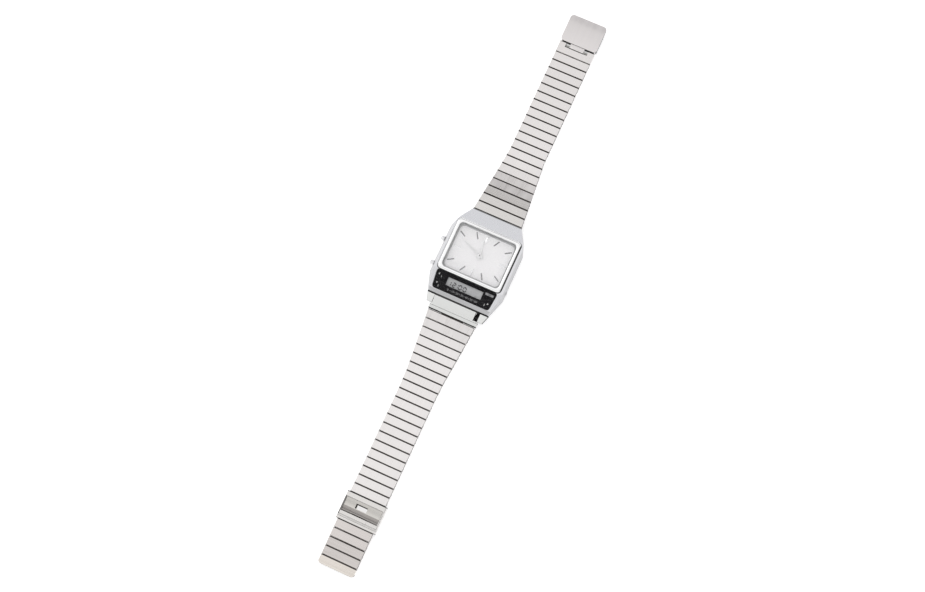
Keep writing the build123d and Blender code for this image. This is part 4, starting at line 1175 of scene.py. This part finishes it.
def pointers():
    """The three pointers at the panel's sides, and their plain numbers."""
    nose, barb, hollow, half_height = 0.35, 0.3, 0.12, 0.42
    outlines = []
    for x, station, side in ((-10.75, -8.75, -1), (-10.3, -12.0, -1), (10.1, -12.0, 1)):
        arrow = [(side * nose, 0), (-side * barb, half_height), (-side * hollow, 0),
                 (-side * barb, -half_height)]
        outlines.append(moved(arrow[::side], x, panel_y(station)))
    marks = [flat_shapes(outlines, 0, PRINT_DEPTH)]
    for text, x, station in (("1", -9.6, -9.5), ("2", -9.4, -12.95), ("3", 9.0, -12.75)):
        marks.append(number_mesh(text, POINTER_NUMBER_HEIGHT, x, station))
    panel_piece("panel_marks", marks, MASK_TOP, print_white)


def scale_and_plaque():
    """The row of numbers with ticks between them, and the small plaque with its number."""
    row = []
    for index in range(7):
        x = SCALE_START + index * SCALE_STEP
        row.append(number_mesh(str(index * 10), SCALE_NUMBER_HEIGHT, x, SCALE_STATION))
    for index in range(6):
        x = TICK_START + index * SCALE_STEP
        tick = rectangle((x - TICK_HALF_WIDTH, 0), (x + TICK_HALF_WIDTH, TICK_LENGTH))
        row.append(flat_shapes([moved(tick, 0, panel_y(TICK_STATION))], 0, PRINT_DEPTH))
    left, right = PLAQUE_SIDES
    plaque = rectangle((left, -PLAQUE_HALF_HEIGHT), (right, PLAQUE_HALF_HEIGHT))
    row.append(flat_shapes([moved(plaque, 0, panel_y(PLAQUE_STATION))], 0, PLAQUE_DEPTH))
    panel_piece("panel_scale", row, MASK_TOP, print_grey)
    number = number_mesh("24", PLAQUE_NUMBER_HEIGHT, (left + right) / 2, PLAQUE_STATION)
    panel_piece("plaque_number", [number], MASK_TOP + PRINT_DEPTH / 2, panel_black)


# Dark sheets of painted shade, and the tab, seen through openings.


def notch_shade_sheets():
    """Dark sheets of painted shade below the notch, a part on the case and a part on the end piece."""
    left, right, thickness = 7.5, 8.95, 0.2
    for name, body, slot, low, high, level in (
            ("notch_leaf", "case", "case_steel", -16.7, -15.85, 1.0),
            ("notch_lock", "lower_end_link", "bracelet_steel", -19.0, -16.75, 1.7)):
        outline = rectangle((left, low), (right, high))
        new_piece(name, flat_shapes([outline], level, level + thickness), body, joint_dark)


def tab():
    """The raised tab in the lock plate's slot, and a dark sheet of painted shade under the slot."""
    for name, near, far, low, high, material in (
            ("lock_plate_tab", (-2.15, -98.75), (1.65, -97.35), 3.37, 3.46, tab_steel),
            ("lock_plate_leaf", (-3.0, -99.0), (2.0, -96.7), 2.93, 2.955, joint_dark)):
        mesh = flat_shapes([rectangle(near, far)], low, high)
        new_piece(name, mesh, "slider_lock_plate", material)


# Areas of the solids that have a finish or a painted shade of their own, picked by place and normal.


def in_groove(place, normal):
    """The groove along the lip and the wall under it, painted shade."""
    return LIP_Y - GROOVE_WIDTH < place.y < LIP_Y + 0.02 and place.z < LUG_TOP


def beside_notch(place, normal):
    """The right lug's wall along the notch, and its outer side, painted shade."""
    near, far = LUG_WALL
    upright = place.y < LUG_START and place.x > near and abs(normal.z) < 0.35
    return upright and (place.x < far or normal.x > STEEP)


def at_band_end(place, normal):
    """The end of the case over the first bar, painted shade."""
    return place.y > CASE_BAND_START


def under_crystal(place, normal):
    """The ledge that the crystal sits on and the opening below it, painted grey as shade."""
    margin, opening_foot = 0.1, 5.0
    wide, long = FRAME_HALF_WIDTH - margin, FRAME_HALF_LENGTH - margin
    inside = abs(place.x) < wide and abs(place.y - DIAL_Y) < long
    return inside and opening_foot < place.z < DECK - 0.05


def on_lug(place, normal):
    """The tops of the lugs."""
    return place.y < LUG_START and normal.z > FACING and LUG_SHOULDER < place.z < LUG_TOP


def beside_frame(place, normal):
    """The narrow flats of the crown beside the window frame, painted darker as shade."""
    return abs(place.x) > FRAME_HALF_WIDTH and normal.z > 0.9 and place.z > DECK - 0.1


def on_lip(place, normal):
    """The flat lip below the panel, painted darker as shade."""
    return LIP_Y < place.y < LIP_Y + LIP_REACH + 0.05 and normal.z > FACING and place.z > 4.5


def on_flank(place, normal):
    """The sloping sides of the crown and the case below them, painted darker as shade."""
    return abs(normal.x) > STEEP and abs(place.x) > 10.0


def in_notch(place, normal):
    """The nose of the end link, its notch and its slots, painted shade."""
    nose = place.y > LUG_START and normal.y > FACING
    inner = place.y > NOTCH_END and abs(normal.z) < 0.3 and place.x > NOTCH_SIDE
    slot = place.z < 3.0 and normal.y < -0.7
    return place.y < END_LINK_END or nose or inner or slot


def on_crease(place, normal):
    """A thin line of painted shade across the end piece."""
    return abs(place.y - CREASE_Y) < LINE_HALF_WIDTH and normal.z > FACING


def in_cover_hinge(place, normal):
    """The cut edges of the cover and of its last link, round the hinge, painted shade."""
    start, end = COVER_HINGE
    cut = abs(normal.z) < 0.75 and start < place.y < end and abs(place.x) < COVER_SLOT_SIDE
    return cut or place.y < COVER_START


def beside_cover(place, normal):
    """The cover's right side, painted shade."""
    return normal.x > 0.3 and place.y > COVER_HINGE[1]


def slider_shade(place, normal):
    """The buckle's shaded parts: the top of its left wall, its opening and both its ends."""
    wall_side = place.x < SLIDER_WALL_SIDE and place.y < SLIDER_WALL_START
    wall_top = wall_side and normal.x > -STEEP and normal.z > -0.3
    inner = abs(normal.z) < FACING and abs(place.x) < SLIDER_OPENING_SIDE
    return wall_top or inner or place.y < SLIDER_FOOT or place.y > SLIDER_START


def on_step_line(place, normal):
    """The two thin lines of painted shade along the buckle's crossbar and step."""
    return normal.z > FACING and min(abs(place.y - line) for line in SLIDER_LINES) < LINE_HALF_WIDTH


def plate_near(place, normal):
    """The part of the lock plate towards the case; the rest carries the painted dark reflection."""
    return place.y > PLATE_BREAK


# The solids, dressed in their finishes and their painted shade.


def case_and_window():
    """The case and the parts of its window, then the panel's glass and the back."""
    dress("case_body", 0.1, (case_steel, case_edge), segments=3, angle=15.0,
          parted=(LUG_START, LIP_Y + LIP_REACH, DIAL_Y - FRAME_HALF_LENGTH,
                  DIAL_Y + FRAME_HALF_LENGTH, CASE_BAND_START),
          areas=((in_groove, joint_dark), (beside_notch, joint_dark), (at_band_end, end_grey),
                 (under_crystal, shaded_ring_grey), (beside_frame, flank_steel), (on_lug, end_steel),
                 (on_lip, lip_steel), (on_flank, flank_steel)))
    window()
    dress("display_glass", 0.06, (panel_cover,), angle=40.0)
    dress("case_back", 0.08, (back_steel, case_edge), angle=40.0)


def clasp_cover():
    """The folding cover of the clasp and the link that it hinges on."""
    dress("clasp_cover", 0.12, (clasp_steel, edge_steel),
          areas=((in_cover_hinge, joint_dark), (beside_cover, end_grey)))
    dress("clasp_end_link", 0.12, (bar_steel, edge_steel), angle=30.0, parted=(COVER_START,),
          areas=((in_cover_hinge, joint_dark),))


def end_piece():
    """The notched piece between the lower lugs, and the sheets of painted shade in its notch."""
    dress("lower_end_link", 0.12, (end_steel, edge_steel), angle=15.0,
          parted=(CREASE_Y - LINE_HALF_WIDTH, CREASE_Y + LINE_HALF_WIDTH, END_LINK_END),
          areas=((in_notch, joint_dark), (on_crease, end_grey)))
    notch_shade_sheets()


def buckle():
    """The sliding buckle and its lock plate with the tab."""
    line_sides = [line + side * LINE_HALF_WIDTH for line in SLIDER_LINES for side in (1, -1)]
    dress("clasp_slider", 0.1, (buckle_steel, edge_steel),
          parted=(SLIDER_START, SLIDER_WALL_START, *line_sides, SLIDER_FOOT),
          areas=((slider_shade, joint_dark), (on_step_line, end_grey)))
    dress("slider_lock_plate", 0.05, (dish_steel, edge_steel), angle=30.0, parted=(PLATE_BREAK,),
          areas=((plate_near, plate_steel),))
    tab()


def buttons():
    """The three push buttons."""
    for name in nodes:
        if name.startswith("button"):
            dress(name, 0.12, (button_steel, case_edge), segments=3, angle=30.0)


def carried_over():
    """Finishes for the solids that keep their own shape; the spring bars get painted shade."""
    for name, node in nodes.items():
        if not node.hide_render:
            paint(node.data, OWN_SHADE.get(name, SHADES[slot_of_node[name]]))


# The studio.


def stage():
    """A plain pale floor that shows bright to the camera and in reflections."""
    floor = Shader("floor_white")
    mesh = bpy.data.meshes.new("floor")
    size, gap_below = 3.0, 0.00002
    corners = [(x, y, 0) for x, y in rectangle((-size, -size), (size, size))]
    mesh.from_pydata(corners, [], [(0, 1, 2, 3)])
    mesh.materials.append(floor.material)
    piece = added("floor", mesh)
    piece.location.z = -gap_below
    rays = floor.add("ShaderNodeLightPath").outputs
    seen = floor.combine(floor.combine(rays["Is Camera Ray"], rays["Is Glossy Ray"], "MAXIMUM"),
                         rays["Is Transmission Ray"], "MAXIMUM")
    floor.put(Base_Color=(0.93, 0.93, 0.93, 1), Roughness=0.9, Specular_IOR_Level=0.1,
              Emission_Color=(1, 1, 1, 1), Emission_Strength=floor.combine(seen, 0.45, "MULTIPLY"))


def light_from_all_round():
    """Soft studio light: bright overhead, with a dim strip behind and another to the right."""
    world = bpy.data.worlds.new("studio")
    bpy.context.scene.world = world
    world.use_nodes = True
    tree = world.node_tree

    def band(value, low, high, stops):
        """Colour by where a value lies between two ends, through stops that are greys or colours."""
        share = add_node(tree, "ShaderNodeMapRange", {"Value": value, "From Min": low, "From Max": high})
        ramp = add_node(tree, "ShaderNodeValToRGB", {"Fac": share})
        marks = ramp.color_ramp.elements
        for index, (place, tone) in enumerate(stops):
            at = (place - low) / (high - low)
            mark = marks[index] if index < 2 else marks.new(at)
            mark.position = at
            mark.color = (*tone, 1) if isinstance(tone, tuple) else (tone, tone, tone, 1)
        return ramp

    place = add_node(tree, "ShaderNodeTexCoord").outputs["Generated"]
    parts = add_node(tree, "ShaderNodeSeparateXYZ", {"Vector": place}).outputs
    lean = add_node(tree, "ShaderNodeMath", {0: parts["Y"], 1: parts["Z"]}, operation="ARCTAN2")
    angle = add_node(tree, "ShaderNodeMath", {0: lean}, operation="DEGREES")
    dim, cool = (0.46, 0.45, 0.45), (0.98, 0.985, 1.0)
    along = band(angle, -180.0, 180.0, (
        (-100, 1.0), (-28, 1.04), (-18, 0.86), (-8, 0.86), (2, 1.12),
        (22, (1.12, 1.115, 1.115)), (30, dim), (38, dim), (50, cool), (100, cool)))
    across = band(parts["X"], -1.0, 1.0, ((-1.0, 1.0), (0.66, 1.0), (0.84, 0.30), (0.93, 0.07)))
    both = add_node(tree, "ShaderNodeVectorMath", {0: along, 1: across}, operation="MULTIPLY")
    sky = tree.nodes["Background"]
    feed(tree, both, sky.inputs["Color"])
    feed(tree, 1.0, sky.inputs["Strength"])


def lamp(name, place, target, size, power):
    """A rectangular area lamp at a place, aimed at a target."""
    data = bpy.data.lights.new(name, "AREA")
    data.shape = "RECTANGLE"
    data.size, data.size_y = size
    data.energy = power
    light = added(name, data)
    light.location = place
    aim = Vector(target) - Vector(place)
    light.rotation_euler = aim.to_track_quat("-Z", "Y").to_euler()


camera()
bpy.context.scene.view_settings.view_transform = "Standard"
stage()
light_from_all_round()
lamp("key", (-0.5, 0.1, 0.9), target=(0, 0, 0), size=(0.5, 0.5), power=0.35)
bracelet()
layout = places_layout()
back_screws(layout)
hour_markers(layout)
hands()
digits()
pointers()
scale_and_plaque()
case_and_window()
clasp_cover()
end_piece()
buckle()
buttons()
carried_over()
